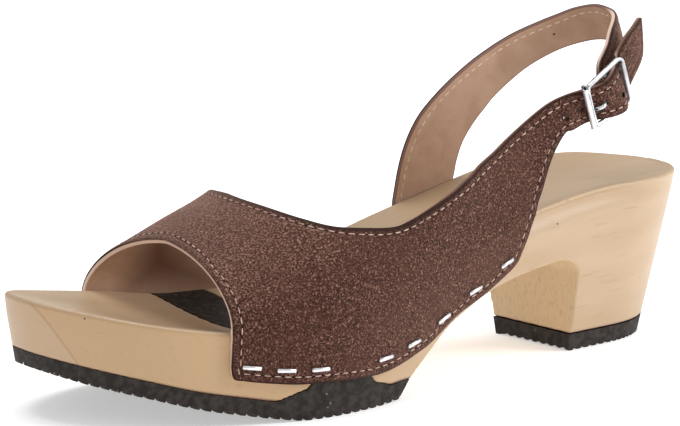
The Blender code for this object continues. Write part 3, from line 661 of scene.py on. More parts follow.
sections = []
for x, *lengths in rim_stations(OUTSOLE_START, SOLE_LENGTH):
    sections.append(tread_section(x, forefoot(x) - SEAT_GAP, smooth(TREAD, x), *lengths))
end_top = OUTSOLE_END_X - OUTSOLE_END_SLOPE * OUTSOLE_END_REACH
end_foot = OUTSOLE_END_X + OUTSOLE_END_SLOPE * OUTSOLE_END_REACH
end_profile = [(end_foot, -OUTSOLE_END_REACH), (end_top, OUTSOLE_END_REACH), (end_top, CUT_ABOVE)]
end_profile += [(CUT_FRONT, CUT_ABOVE), (CUT_FRONT, -OUTSOLE_END_REACH)]
add_tread("rubber_outsole", "outsole", sections, end_profile, flex_rib)

sections = []
for x, *lengths in rim_stations(0.0, HEEL_TIP_END):
    sections.append(tread_section(x, HEEL_TIP_TOP - SEAT_GAP, 0.0, *lengths, HEEL_RIBS))
tip_profile = [(CUT_BACK, CUT_BELOW), (BREAST_X, CUT_BELOW), (BREAST_X, -CUT_BELOW), (CUT_BACK, -CUT_BELOW)]
add_tread("rubber_heel_tip", "heel_tip", sections, tip_profile)

# Suede upper: brown split leather cut in one piece as vamp, side straps, heel loop and strap end. It is
# drawn over the last, and its raw edges are rolled a little by the seam beside them. An eye of the same
# suede holds the bar of the buckle.
WALL = 2.0
SUEDE = 0.8
OUTER_ARCH_POWER = 1.95
INNER_ARCH_POWER = 2.0
WALL_SCALE = 65.0
STRAP_LEAN = 0.16
STRAP_START = 95.0
ARCH_END = 125.0
LOOP_X = 54.0
LOOP_Y = -1.5
LOOP_DEPTH = 33.0
LOOP_TURN = 30.0
ROW_STEP = 1.6
TOE_ROW_STEP = 0.6
TOE_ROWS = 2
LINE_SAMPLES = 56
EDGE_LANES = (0.0, 0.4, 0.9, 1.4, 1.9, 2.4, 2.9, 3.5, 4.3)
MIDDLE_LANES = 24
RIDGE_MERGE = 0.2
ROLL_WIDTH = 1.1
ROLL_DEPTH = 0.25
SEAM_GAP = 2.5
SEAM_WIDTH = 0.5
SEAM_DEPTH = 0.15
RIPPLE = 0.12
RIPPLE_SPAN = 14.0

# Instep line of the last above the footbed, by x, y and z, which the vamp reaches and the straps stay below
INSTEP = (
    (54, -1.5, 150), (100, -1, 150), (115, -1, 122), (130, -1, 102), (150, -1, 85), (165, -2, 74),
    (178, -2.5, 66), (190, -3.5, 60.2), (201, -4, 54), (215, -5, 46.3),
)

# Cross rows of the upper, each from its lower edge to its upper edge, with how far each edge stands out of
# the last. An upper edge at RIDGE lies on the instep line, where the two sides of the vamp meet.
Row = namedtuple("Row", "low_x low_z top_x top_z low_out top_out", defaults=(0.0, 0.0))
RIDGE = 99.0
OUTER_ROWS = [Row(*row) for row in (
    (203.8, 20, 201, RIDGE), (202.9, 16.2, 199, RIDGE), (199.5, 15.2, 194, RIDGE),
    (195.6, 14.4, 186, RIDGE), (190.5, 13.6, 177.3, RIDGE), (184.5, 12.8, 176.9, 65.6),
    (177, 12.4, 173.9, 64), (169, 12.1, 169, 61.8), (159.5, 11.6, 161.7, 59.4), (147, 12.1, 150.5, 58),
    (136, 14.7, 141.5, 57.4), (127.2, 17.6, 134.5, 58.7), (114.5, 24.2, 126.5, 61.2),
    (100.2, 29.4, 118.5, 64), (87.9, 35.6, 111.5, 66.8), (84, 41.2, 104.5, 69.9),
    (79.1, 52.4, 95.5, 74.3), (75, 60.5, 88.5, 78), (69.6, 70.4, 80.5, 82.2),
    (63.6, 77.6, 69.5, 87.8, 0.3, 0.3), (60.2, 78.4, 62.6, 90.2, 0.4, 1.6),
    (52.1, 80.2, 56.5, 91.2, -0.7, 3.5), (48.2, 81, 52.6, 92.3, 2.1, 5), (44.3, 81.9, 48.9, 94.1, 4.7, 6),
    (40.8, 83.6, 45.7, 96.5, 5.6, 5.6), (37.6, 87.5, 43.1, 99.6, 3.9, 5.2),
    (36.1, 91.9, 43.2, 102.4, 5.3, 5.8), (31.9, 98.4, 39.2, 107.6, 7.5, 6.9),
    (30.6, 103.1, 35.2, 110.2, 8.1, 7.5), (30.9, 111.9, 31.3, 112.8, 8.4, 8.3),
)]
INNER_ROWS = [Row(*row) for row in (
    (209.4, 21, 201, RIDGE), (206.8, 17, 199, RIDGE), (203.4, 15.8, 194, RIDGE), (199, 14.8, 186, RIDGE),
    (193, 13.9, 177.3, RIDGE), (186, 13.1, 175.6, 65.8), (178.5, 12.7, 170, 62.8), (170, 12.3, 163, 55),
    (159.5, 12, 154, 45), (147.5, 12.3, 145, 36.5), (136, 14.9, 135, 32.4), (125, 18.8, 125, 35.4),
    (114.5, 24.2, 113, 39.2), (103.5, 28.4, 101.5, 42.4), (95, 31.8, 94.8, 46.4), (87.5, 35, 93.4, 52.6),
    (79.5, 38.6, 92.6, 59.8), (73, 47, 91.2, 66.8), (69, 55, 88.9, 73.4), (68, 61.5, 85.2, 79.8),
    (65.8, 68.2, 79.6, 85.5), (61.4, 74.5, 72, 91.4), (55, 81, 63.2, 96.8),
    (47, 88, 54.6, 101.1, 0.3, -0.3), (41.6, 92.3, 46.2, 105.3, 0.6, -0.8),
    (35.6, 96, 37.8, 108.7, 1, -1.4), (29, 99, 31, 111.1, 1, -1.5), (21.6, 101.1, 24, 113.3, 1, -1.5),
    (13.6, 102.4, 14.4, 114.6, 1, -1.5), (5.6, 102.6, 4.6, 114, 1, -1.5), (-2, 102, -4, 113.2, 1, -1.5),
    (-8.8, 100.6, -12, 112, 1, -1.4), (-14, 98.6, -19.5, 109.2, 0.9, -1.2),
    (-19.6, 94.9, -25, 104.4, 0.6, -0.8), (-26.6, 88.6, -30.9, 99.5, 0, -0.4), (-31.6, 84, -32, 94.4),
)]
RIDGE_PLACE = sum(row.top_z == RIDGE for row in OUTER_ROWS) - 1

# Forward bow of the rows at places round the end of the ridge, so that they meet the throat at an angle
BOWS = (
    (0, 0), (1, 2), (2, 10), (3, 18), (4, 24), (5, 22), (6, 16), (7, 10), (8, 5), (9, 0), (40, 0),
)


def instep(x):
    return smooth(INSTEP, x), smooth(INSTEP, x, 2)


def arch_power(side):
    return OUTER_ARCH_POWER if side > 0 else INNER_ARCH_POWER


def rise_of(side, x, z):
    """Place between the footbed edge, at 0, and the instep line, at 1; below 0 on the sole's side wall."""
    x = max(x, LOOP_X)
    base = edge(x)
    if z <= base:
        return (z - base) / WALL_SCALE
    share = min(1.0, (z - base) / (instep(x)[1] - base))
    return math.asin(share ** (arch_power(side) / 2)) / quarter


def height_of(side, x, rise):
    x = max(x, LOOP_X)
    base = edge(x)
    if rise <= 0:
        return base + rise * WALL_SCALE
    share = math.sin(rise * quarter) ** (2 / arch_power(side))
    return base + share * (instep(x)[1] - base)


def last_y(side, x, z):
    """Y of the upper's outer skin at x and z: sole wall, then the arch of the foot or the lean of a strap."""
    base = edge(x)
    if z <= base:
        return wall_point(side, x, z, -WALL - SEAT_GAP).y
    start = outline(side, x) + side * (WALL + SEAT_GAP)
    leaning = start - side * STRAP_LEAN * (z - base)
    ridge_y, ridge_z = instep(x)
    share = min(1.0, (z - base) / (ridge_z - base))
    power = arch_power(side)
    arched = ridge_y + (start - ridge_y) * (1 - share ** power) ** (1 / power)
    blend = ease(STRAP_START, ARCH_END, x)
    return leaning + (arched - leaning) * blend


def skin_point(side, x, z, out=0.0):
    """Point of the outer skin. Past LOOP_X the distance x runs on round the back of the strap's loop."""
    if x >= LOOP_X:
        return Vector((x, last_y(side, x, z) + side * out, z))
    turn = (LOOP_X - x) / LOOP_TURN
    near = side if turn <= quarter else -side
    radius = abs(last_y(near, LOOP_X, z) - LOOP_Y) + out
    back = LOOP_DEPTH + out
    return Vector((LOOP_X - back * math.sin(turn), LOOP_Y + side * radius * math.cos(turn), z))


# The rows of both sides, with their heights as rises on the last
SIDES = {}
for side, table in ((1, OUTER_ROWS), (-1, INNER_ROWS)):
    SIDES[side] = []
    for row in table:
        low = rise_of(side, row.low_x, row.low_z)
        SIDES[side].append(row._replace(low_z=low, top_z=rise_of(side, row.top_x, row.top_z)))


def row_line(side, place):
    """Points across the upper at a place along its rows, from the lower to the upper edge or the ridge."""
    rows = SIDES[side]
    i = min(int(place), len(rows) - 2)
    t = place - i
    before = rows[max(0, i - 1)]
    if i == RIDGE_PLACE:
        across = SIDES[-side][i + 1]
        before = before._replace(top_x=across.top_x, top_z=2 - across.top_z)
    beyond = rows[min(len(rows) - 1, i + 2)]
    values = []
    for a, b, c, d in zip(before, rows[i], rows[i + 1], beyond):
        bend = (c - a) * t * (1 - t) ** 2 / 2 + (d - b) * t * t * (t - 1) / 2
        values.append(b * (1 + 2 * t) * (1 - t) ** 2 + c * t * t * (3 - 2 * t) + bend)
    row = Row(*values)
    top = 1.0 if place <= RIDGE_PLACE else min(1.0, row.top_z)
    bow = smooth(BOWS, place)
    points = []
    for k in range(LINE_SAMPLES + 1):
        share = k / LINE_SAMPLES
        x = row.low_x + (row.top_x - row.low_x) * share + bow * share * (1 - share)
        z = height_of(side, x, row.low_z + (top - row.low_z) * share)
        points.append(skin_point(side, x, z, row.low_out + (row.top_out - row.low_out) * share))
    return points


def line_length(points):
    return sum((second - first).length for first, second in zip(points, points[1:]))


def along(points, distance):
    """Point at a distance along a line of points."""
    for first, second in zip(points, points[1:]):
        step = (second - first).length
        if distance <= step:
            return first.lerp(second, max(0.0, distance) / max(step, 1e-9))
        distance -= step
    return points[-1].copy()


def fine_places(side):
    """Places along the rows, closer at the toe opening, the same on both sides as far as the ridge."""
    places = []
    for i in range(len(SIDES[side]) - 1):
        lines = [row_line(side, i), row_line(side, i + 1)]
        if i < RIDGE_PLACE:
            lines += [row_line(-side, i), row_line(-side, i + 1)]
        gaps = [(b[k] - a[k]).length for a, b in zip(lines[::2], lines[1::2]) for k in (0, -1)]
        step = TOE_ROW_STEP if i < TOE_ROWS else ROW_STEP
        count = max(2, math.ceil(max(gaps) / step))
        places += [i + k / count for k in range(count)]
    return places + [len(SIDES[side]) - 1]


def lane_distances(length):
    """Distances across a row, close together beside both edges."""
    squeeze = min(1.0, 0.45 * length / EDGE_LANES[-1])
    low = [distance * squeeze for distance in EDGE_LANES]
    top = [length - distance for distance in reversed(low)]
    span = top[0] - low[-1]
    return low + [low[-1] + span * k / MIDDLE_LANES for k in range(1, MIDDLE_LANES)] + top


def upper_sheet():
    """Outer skin of the whole upper, with normals out of the shoe."""
    bm = bmesh.new()
    seam = []
    for side in (1, -1):
        rows = []
        places = fine_places(side)
        for place in places:
            line = row_line(side, place)
            rows.append([along(line, distance) for distance in lane_distances(line_length(line))])
        verts = add_sheet(bm, rows)
        ridge_rows = sum(place <= RIDGE_PLACE for place in places)
        ends = {tuple(round(value, 7) for value in on_frame(row[-1])) for row in rows[:ridge_rows]}
        seam += [vert for vert in verts if tuple(round(value, 7) for value in vert.co) in ends]
    bmesh.ops.remove_doubles(bm, verts=seam, dist=RIDGE_MERGE * MM)
    bmesh.ops.recalc_face_normals(bm, faces=bm.faces)
    bm.normal_update()
    outer = max(bm.faces, key=lambda face: face.calc_center_median().y)
    if outer.normal.y < 0:
        bmesh.ops.reverse_faces(bm, faces=bm.faces)
        bm.normal_update()
    return bm


def edge_gaps(bm):
    """Distance of each vertex from the nearest free edge of a sheet, in millimetres."""
    samples = []
    for item in bm.edges:
        if item.is_boundary:
            samples += [item.verts[0].co.lerp(item.verts[1].co, k / 8) for k in range(8)]
    tree = tree_of(samples)
    return {vert: tree.find(vert.co)[2] / MM for vert in bm.verts}


def add_wall(bm, thickness):
    """Gives a sheet its thickness inwards and keeps each vertex's gap to the free edges."""
    gap = bm.verts.layers.float.new("edge_gap")
    for vert, value in edge_gaps(bm).items():
        vert[gap] = value
    inner = bmesh.ops.extrude_face_region(bm, geom=bm.faces[:], use_keep_orig=True)["geom"]
    moved = [item for item in inner if isinstance(item, bmesh.types.BMVert)]
    bm.normal_update()
    for vert in moved:
        vert.co -= vert.normal * thickness * MM
    bmesh.ops.recalc_face_normals(bm, faces=bm.faces)


# Place of the buckle on the strap, the path of its prong by reach and height, and the strap's holes by x, z
# and how far they stand out
BUCKLE_X = 47.0
BUCKLE_Z = 90.0
BUCKLE_CLIMB = math.radians(24.0)
BUCKLE_TIP = math.radians(6.0)
WIRE_SIDES = 20
PRONG_WIRE = 0.75
PRONG_ACROSS = -1.9
PRONG_STEPS = 16
PRONG_BURIED = 9
PRONG_REACH = 7.5
PRONG_GAP = 0.4
PRONG_RISE = ((0.0, 1.95), (2.4, 3.0), (4.0, 4.8), (5.2, 5.2), (PRONG_REACH, 4.2))
HOLES = ((63.3, 82.8, 0.2), (56.7, 85.2, 1.4), (42.3, 88.7, 4.4))
HOLE_RADIUS = 1.0
HOLE_REACH = 2.6
BAR_WIRE = 0.9
EYE_HALF = 4.6
EYE_WALL = 0.9
HOLE_CREASE = math.radians(60.0)
BUCKLE_CENTRE = skin_point(1, BUCKLE_X, BUCKLE_Z)
flat = (skin_point(1, BUCKLE_X + 1.0, BUCKLE_Z) - BUCKLE_CENTRE).normalized()
up = Vector((0.0, 0.0, 1.0))
steep = up * math.cos(BUCKLE_TIP) + up.cross(flat) * math.sin(BUCKLE_TIP)
BUCKLE_AHEAD = flat * math.cos(BUCKLE_CLIMB) - steep * math.sin(BUCKLE_CLIMB)
BUCKLE_ACROSS = flat * math.sin(BUCKLE_CLIMB) + steep * math.cos(BUCKLE_CLIMB)
BUCKLE_OUT = -BUCKLE_AHEAD.cross(BUCKLE_ACROSS)


def buckle_point(forward, upward, height):
    return BUCKLE_CENTRE + BUCKLE_AHEAD * forward + BUCKLE_ACROSS * upward + BUCKLE_OUT * height


def wire_ring(point, ahead, guide, radius, power=1.0):
    """Ring round a wire, with flatter sides by its power, turned as a guide direction sets it."""
    side = ahead.cross(guide).normalized()
    up = side.cross(ahead).normalized()
    ring = []
    for k in range(WIRE_SIDES + 1):
        turn = 2 * math.pi * (k % WIRE_SIDES + 0.5) / WIRE_SIDES
        wide = math.copysign(abs(math.cos(turn)) ** power, math.cos(turn))
        tall = math.copysign(abs(math.sin(turn)) ** power, math.sin(turn))
        ring.append(point + (side * wide + up * tall) * radius)
    return ring


def wire_rings(points, radius, guide, power=1.0, closed=False):
    """Rings along a wire's path."""
    count = len(points)
    rings = []
    for i, point in enumerate(points):
        ahead = points[(i + 1) % count] - points[i - 1]
        if not closed:
            ahead = points[min(count - 1, i + 1)] - points[max(0, i - 1)]
        rings.append(wire_ring(point, ahead, guide, radius, power))
    return rings + rings[:1] if closed else rings


prong_path = []
for k in range(PRONG_STEPS + 1):
    forward = PRONG_REACH * k / PRONG_STEPS
    prong_path.append(buckle_point(forward, PRONG_ACROSS, smooth(PRONG_RISE, forward)))
punches = [wire_rings(prong_path[:PRONG_BURIED], PRONG_WIRE + PRONG_GAP, BUCKLE_ACROSS)]
for x, z, out in HOLES:
    middle = skin_point(1, x, z, out - WALL / 2)
    ends = [middle - BUCKLE_OUT * HOLE_REACH, middle + BUCKLE_OUT * HOLE_REACH]
    punches.append(wire_rings(ends, HOLE_RADIUS, BUCKLE_ACROSS))
punch = loft("punch", *punches)


def punch_holes(piece):
    """Cuts the strap's holes through a piece."""
    combine(piece, "DIFFERENCE", punch)
    settle(piece)
    piece.data.set_sharp_from_angle(angle=HOLE_CREASE)


suede_sheet = upper_sheet()
gaps = edge_gaps(suede_sheet)
moves = {}
for vert in suede_sheet.verts:
    roll = ROLL_DEPTH * max(0.0, 1 - gaps[vert] / ROLL_WIDTH) ** 2
    trough = SEAM_DEPTH * math.exp(-((gaps[vert] - SEAM_GAP) / SEAM_WIDTH) ** 2)
    ripple = RIPPLE * noise.noise(vert.co / (RIPPLE_SPAN * MM))
    moves[vert] = vert.normal * (ripple - roll - trough) * MM
for vert, move in moves.items():
    vert.co += move
suede_sheet.normal_update()
suede_skin = BVHTree.FromBMesh(suede_sheet)
add_wall(suede_sheet, SUEDE)
upper = add_piece("suede_upper", suede_sheet)
punch_holes(upper)
eye_ends = [buckle_point(0.0, EYE_HALF * way, 0.0) for way in (-1, 1)]
bore = wire_rings(eye_ends, BAR_WIRE + SEAT_GAP, BUCKLE_OUT)
outside = wire_rings(eye_ends, BAR_WIRE + SEAT_GAP + EYE_WALL, BUCKLE_OUT)
eye = loft("suede_eye", [bore[0], outside[0], outside[1], bore[1], bore[0]])
eye.data.set_sharp_from_angle(angle=HOLE_CREASE)

suede = new_material("brown_suede")
SUEDE_DARK = tone(38, 21, 16)
SUEDE_MID = tone(82, 52, 42)
SUEDE_LIGHT = tone(166, 126, 111)
SUEDE_EDGE_SHADE = tone(36, 18, 14)
SUEDE_SHEEN = tone(214, 180, 165)
nap = speckle(suede, 1600.0, 4.0, 0.7)
# The nap is shifted lighter where the suede faces up: a painted highlight of the top light.
lit_pile = calc(suede, "MULTIPLY_ADD", mark(suede, "painted_top_light"), 0.06, nap)
colour = shade(suede, lit_pile, 0.41, 0.545, SUEDE_DARK, SUEDE_MID)
colour = shade(suede, lit_pile, 0.545, 0.68, colour, SUEDE_LIGHT)
colour = shade(suede, speckle(suede, 60.0, 3.0), 0.4, 0.65, colour, SUEDE_MID, 0.0, 0.25)
# Dark cut edge: partly the edge's own colour, partly painted shade where the edge rolls away.
colour = mix(suede, mark(suede, "cut_edge_and_shade"), colour, SUEDE_EDGE_SHADE)
# Painted shade in the trough of each seam: a narrow band along the seam line is darkened towards the edge
# tone.
from_seam = calc(suede, "ABSOLUTE", calc(suede, "SUBTRACT", mark(suede, "edge_gap"), SEAM_GAP))
set_shader(suede, {
    "Base Color": shade(suede, from_seam, 0.15, 0.5, colour, SUEDE_EDGE_SHADE, 0.3, 0.0),
    "Normal": bump(suede, nap, 0.5, 0.0005),
    "Roughness": 0.95,
    "Specular IOR Level": 0.15,
    "Sheen Weight": 0.7,
    "Sheen Roughness": 0.42,
    "Sheen Tint": SUEDE_SHEEN,
})

# The cut edge is dark, partly its own colour and partly painted shade where the edge rolls away; the band is
# widest round the throat and faint at the toe opening
CUT_EDGE_AND_SHADE = 0.92
CUT_FADE = 0.7
THIN_CUT = 0.3
WIDE_CUT = 0.8
TOE_CUT = 0.75


def gap_at(piece, vert):
    """Distance of a vertex from the free edges of its sheet."""
    return piece.data.attributes["edge_gap"].data[vert.index].value


def suede_marks(vert, point):
    """How much painted top light the suede gets where it faces up, and how dark its cut edge is, partly its
    own colour and partly painted shade where the edge rolls away.
    """
    width = THIN_CUT + WIDE_CUT * ease(STRAP_START, ARCH_END, point.x) * ease(40.0, 50.0, point.z)
    dark = CUT_EDGE_AND_SHADE * (1 - ease(width, width + CUT_FADE, gap_at(upper, vert)))
    at_toe = ease(190.0, 194.0, point.x) * ease(22.0, 28.0, point.z)
    return {"painted_top_light": ease(0.3, 0.95, vert.normal.z), "cut_edge_and_shade": dark * (1 - TOE_CUT * at_toe)}


mark_points(upper, suede_marks)
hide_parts("upper")
for piece in (upper, eye):
    piece.data.materials.clear()
    piece.data.materials.append(suede)
    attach(piece, "root")

# Tan lining: smooth pigskin glued inside the suede and trimmed flush with it, so that its pale raw edge shows
# at the toe opening and along the loop.
LINING_GAP = 0.05
lining_sheet = upper_sheet()
for vert in lining_sheet.verts:
    vert.co -= vert.normal * (SUEDE + LINING_GAP) * MM
lining_sheet.normal_update()
add_wall(lining_sheet, WALL - SUEDE - LINING_GAP)
lining_skin = BVHTree.FromBMesh(lining_sheet)
lining_piece = add_piece("tan_lining", lining_sheet)
punch_holes(lining_piece)
bpy.data.objects.remove(punch, do_unlink=True)

lining = new_material("tan_pigskin")
LINING_TONE = tone(187, 153, 129)
LINING_DARK = tone(176, 141, 117)
RAW_EDGE = tone(228, 198, 180)
STAINED_EDGE = tone(118, 78, 62)
VAMP_INSIDE_SHADE = tone(104, 70, 50)
LINING_HOLE_SHADE = tone(66, 40, 28)
LINING_HOLES = ((33.2, -17.5, 103.8), (23.1, -0.2, 111.3))
LINING_HOLE_SPAN = (0.3, 0.6)
colour = shade(lining, speckle(lining, 130.0, 5.0), 0.35, 0.65, LINING_DARK, LINING_TONE)
# Painted shade: the lining is darkened deep inside the vamp, where little light reaches.
colour = mix(lining, mark(lining, "vamp_shade"), colour, VAMP_INSIDE_SHADE)
# Dark dots of painted shade where the lining has small holes.
for point in LINING_HOLES:
    colour = dot(lining, colour, lining_piece, point, *LINING_HOLE_SPAN, LINING_HOLE_SHADE)
edge_tone = mix(lining, mark(lining, "pale_edge"), STAINED_EDGE, RAW_EDGE)
set_shader(lining, {
    "Base Color": shade(lining, mark(lining, "edge_gap"), 0.1, 0.5, colour, edge_tone, 1.0, 0.0),
    "Normal": bump(lining, cells(lining, 1400.0), 0.15, 0.0002),
    "Roughness": 0.6,
})


def lining_marks(vert, point):
    """How much painted shade the lining gets deep inside the vamp, and where its raw edge is pale."""
    inside = ease(6.0, 26.0, gap_at(lining_piece, vert)) * ease(140.0, 160.0, point.x)
    at_turn = ease(-2.0, 8.0, point.y) * ease(95.0, 101.0, point.z)
    at_turn *= 1 - ease(19.0, 22.0, point.y) * ease(101.0, 103.5, point.z)
    return {
        "vamp_shade": inside * (1 - 0.9 * ease(-10.0, 25.0, point.y)),
        "pale_edge": max(ease(184.0, 190.0, point.x), at_turn),
    }


mark_points(lining_piece, lining_marks)
lining_piece.data.materials.clear()
lining_piece.data.materials.append(lining)
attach(lining_piece, "root")

# Seams: pale linen thread in lockstitch beside the free edges. Each stitch lies in the trough of its seam
# between two needle holes, which are flat dark beads of painted shade, and the paler bobbin thread of the
# throat's seam shows on the lining.
STITCH_PITCH = 3.3
STITCH_LENGTH = 2.3
THREAD_WIDTH = 0.42
THREAD_HEIGHT = 0.36
HOLE_LENGTH = 1.2
HOLE_HEIGHT = 0.12
TOE_SEAM_GAP = 2.9
SEAM_PASSES = 6
PLACE_STEP = 0.2
OUTER_SEAM_END = 25.0
INNER_SEAM_END = 29.5


def edge_line(side, on_top, first, last):
    """Points of the lower or upper free edge of one side, between two places along its rows."""
    count = math.ceil((last - first) / PLACE_STEP)
    places = [first + (last - first) * k / count for k in range(count + 1)]
    return [row_line(side, place)[-1 if on_top else 0] for place in places]


def inset_line(edge_points, gap):
    """Even line a gap inside a free edge of the suede's skin."""
    points = []
    for k, point in enumerate(edge_points):
        ahead = edge_points[min(k + 1, len(edge_points) - 1)] - edge_points[max(k - 1, 0)]
        spot, normal, _, _ = suede_skin.find_nearest(on_frame(point))
        sideways = ahead.cross(normal).normalized() * gap * MM
        found = [suede_skin.find_nearest(spot + sideways * way) for way in (1, -1)]
        points.append(min(found, key=lambda item: item[3])[0] / MM + BOX_MIDDLE)
    for _ in range(SEAM_PASSES):
        inner = [a / 4 + b / 2 + c / 4 for a, b, c in zip(points, points[1:], points[2:])]
        points = points[:1] + inner + points[-1:]
    return points


def sew(name, paths, skin, depth, material, size, phase=0.5):
    """Joined stitches, or dark beads of painted shade for the needle's holes between them, along paths on a
    skin.
    """
    bm = bmesh.new()
    for path in paths:
        length = line_length(path)
        count = int(length / STITCH_PITCH)
        for k in range(count):
            place = length * (k + phase) / count
            point = along(path, place)
            ahead = along(path, place + STITCH_PITCH / 4) - along(path, place - STITCH_PITCH / 4)
            ahead.normalize()
            spot, normal, _, _ = skin.find_nearest(on_frame(point))
            if depth:
                spot, normal, _, _ = skin.find_nearest(spot - normal * depth * MM)
            side = normal.cross(ahead).normalized()
            turn = Matrix((ahead, side, normal)).transposed().to_4x4()
            stretch = Matrix.Diagonal((*(value / 2 for value in size), 1.0 / MM)) * MM
            matrix = Matrix.Translation(spot) @ turn @ stretch
            bmesh.ops.create_icosphere(bm, subdivisions=2, radius=1.0, matrix=matrix)
    piece = add_piece(name, bm)
    piece.data.materials.append(material)
    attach(piece, "root")


def thread_of(name, dark, light):
    """Material of a twisted thread."""
    material = new_material(name)
    colour = shade(material, speckle(material, 600.0), 0.35, 0.65, dark, light)
    set_shader(material, {"Base Color": colour, "Roughness": 0.8})
    return material


throat_edge = edge_line(1, True, RIDGE_PLACE, OUTER_SEAM_END)[::-1]
throat_edge += edge_line(-1, True, RIDGE_PLACE, INNER_SEAM_END)[1:]
toe_edge = row_line(1, 0.0) + row_line(-1, 0.0)[-2::-1]
throat = inset_line(throat_edge, SEAM_GAP)
outer_hem = inset_line(edge_line(1, False, 0.0, OUTER_SEAM_END), SEAM_GAP)
inner_hem = inset_line(edge_line(-1, False, 0.0, INNER_SEAM_END), SEAM_GAP)
toe_seam = inset_line(toe_edge, TOE_SEAM_GAP)
thread = thread_of("linen_thread", tone(164, 132, 117), tone(208, 182, 166))
stitch_size = (STITCH_LENGTH, THREAD_WIDTH, THREAD_HEIGHT)
suede_seams = [throat, outer_hem, inner_hem, toe_seam]
sew("seam_stitches", suede_seams, suede_skin, 0.0, thread, stitch_size)
# The needle holes are flat dark beads between the stitches: painted shade of the holes.
pinhole_shade = new_material("stitch_gap_shade")
set_shader(pinhole_shade, {
    "Base Color": mix(pinhole_shade, speckle(pinhole_shade, 900.0), tone(20, 10, 8), tone(40, 22, 17)),
    "Roughness": 0.9,
    "Specular IOR Level": 0.1,
})
hole_size = (HOLE_LENGTH, THREAD_WIDTH, HOLE_HEIGHT)
sew("stitch_gap_shades", suede_seams, suede_skin, 0.0, pinhole_shade, hole_size, 1.0)
bobbin = thread_of("pale_bobbin_thread", tone(220, 196, 174), tone(244, 228, 210))
sew("lining_stitches", [throat], lining_skin, WALL, bobbin, stitch_size)

# Staples: flat nickel wire driven through the hem of the upper into the side of the wood, eight on each side.
# Their arrises are rounded, and the same nickel plating is on the buckle.
STAPLE_ARRIS = math.radians(50.0)
STAPLE_BEVEL = 0.12
STAPLE_MERGE = 0.005
nickel = new_material("bright_nickel")
NICKEL_LIGHT = tone(236, 236, 238)
NICKEL_DARK = tone(214, 214, 218)
NICKEL_SHADE = tone(52, 51, 54)
brushed = speckle(nickel, 300.0)
colour = shade(nickel, brushed, 0.35, 0.65, NICKEL_DARK, NICKEL_LIGHT)
# NICKEL_SHADE is mixed in as painted shade and painted dark reflection: in bores, under the rails, on the
# hidden bar and on faces turned from the light.
set_shader(nickel, {
    "Base Color": mix(nickel, mark(nickel, "painted_metal_shade"), colour, NICKEL_SHADE),
    "Roughness": level(nickel, brushed, 0.3, 0.7, 0.14, 0.28),
    "Metallic": 0.65,
})
for node in sorted(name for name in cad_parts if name.startswith("staple")):
    bm = bmesh.new()
    bm.from_mesh(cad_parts[node].data)
    bmesh.ops.remove_doubles(bm, verts=bm.verts, dist=STAPLE_MERGE * MM)
    bmesh.ops.bevel(
        bm,
        geom=[item for item in bm.edges if item.calc_face_angle(0.0) > STAPLE_ARRIS],
        offset=STAPLE_BEVEL * MM,
        offset_type="OFFSET",
        segments=2,
        profile=0.5,
        affect="EDGES",
        clamp_overlap=True,
        material=-1,
    )
    staple = add_piece("wire_" + node, bm)
    staple.data.set_sharp_from_angle(angle=STAPLE_ARRIS)
    staple.data.materials.append(nickel)
    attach(staple, "root")
    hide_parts(node)

# Buckle: a cast nickel frame with a centre bar and a tube along its front side, and a prong that comes up
# through the strap and ends against the tube.
BUCKLE_HALF = 8.8
RAIL_TOP = 7.2
RAIL_REAR = 9.1
RAIL_FOOT = -8.2
BUCKLE_WIRE = 0.8
BUCKLE_CORNER = 2.0
FRONT_SIDE_OUT = 3.2
REAR_SIDE_OUT = 4.1
BAR_BEND = 1.0
SLEEVE_FORWARD = 9.7
SLEEVE_RADIUS = 1.05
SLEEVE_TOP = 7.5
SLEEVE_FOOT = -8.3
BORE_SHARE = 0.5
LIP_SHARE = 0.6
END_TILT = 0.9
BORE_DEPTH = 0.8
CORNER_STEPS = 8
WIRE_POWER = 0.6
BUCKLE_CREASE = math.radians(50.0)
HALF_METAL_SHADE = 0.55
BAR_REACH = 1.2
SLEEVE_REACH = 1.08


def bored(points, radius, guide):
    """Rings of a wire or tube along points, with its ends cut askew and a round bore let into both."""
    rings = wire_rings(points, radius, guide)
    for end, other, place in ((points[0], points[1], 0), (points[-1], points[-2], -1)):
        inside = (other - end).normalized()
        ahead = inside if place == 0 else -inside
        foot = wire_ring(end + inside * BORE_DEPTH, ahead, guide, radius * BORE_SHARE)
        mouth = wire_ring(end, ahead, guide, radius * BORE_SHARE)
        lip = wire_ring(end, ahead, guide, radius * LIP_SHARE)
        askew = []
        for ring in (foot, mouth, lip, rings[place]):
            askew.append([point + inside * END_TILT * (point - end).dot(BUCKLE_OUT) for point in ring])
        rings = askew + rings[1:] if place == 0 else rings[:-1] + askew[::-1]
    return rings


ring_path = []
for corner, (end, rail) in enumerate(((1, RAIL_TOP), (-1, RAIL_REAR), (-1, RAIL_FOOT), (1, RAIL_FOOT))):
    for k in range(CORNER_STEPS + 1):
        turn = quarter * (corner + k / CORNER_STEPS)
        forward = end * (BUCKLE_HALF - BUCKLE_CORNER) + BUCKLE_CORNER * math.cos(turn)
        upward = rail - math.copysign(BUCKLE_CORNER, rail) + BUCKLE_CORNER * math.sin(turn)
        height = REAR_SIDE_OUT + (FRONT_SIDE_OUT - REAR_SIDE_OUT) * (forward / BUCKLE_HALF + 1) / 2
        ring_path.append(buckle_point(forward, upward, height))
bar_path = []
high = (FRONT_SIDE_OUT + REAR_SIDE_OUT) / 2
for rail, bend_way in ((RAIL_FOOT, 1), (RAIL_TOP, -1)):
    bend = [
        buckle_point(0.0, rail, high),
        buckle_point(0.0, rail + bend_way * BAR_BEND, BAR_BEND),
        buckle_point(0.0, rail + 2 * bend_way * BAR_BEND, 0.0),
    ]
    bar_path += bend[::bend_way]
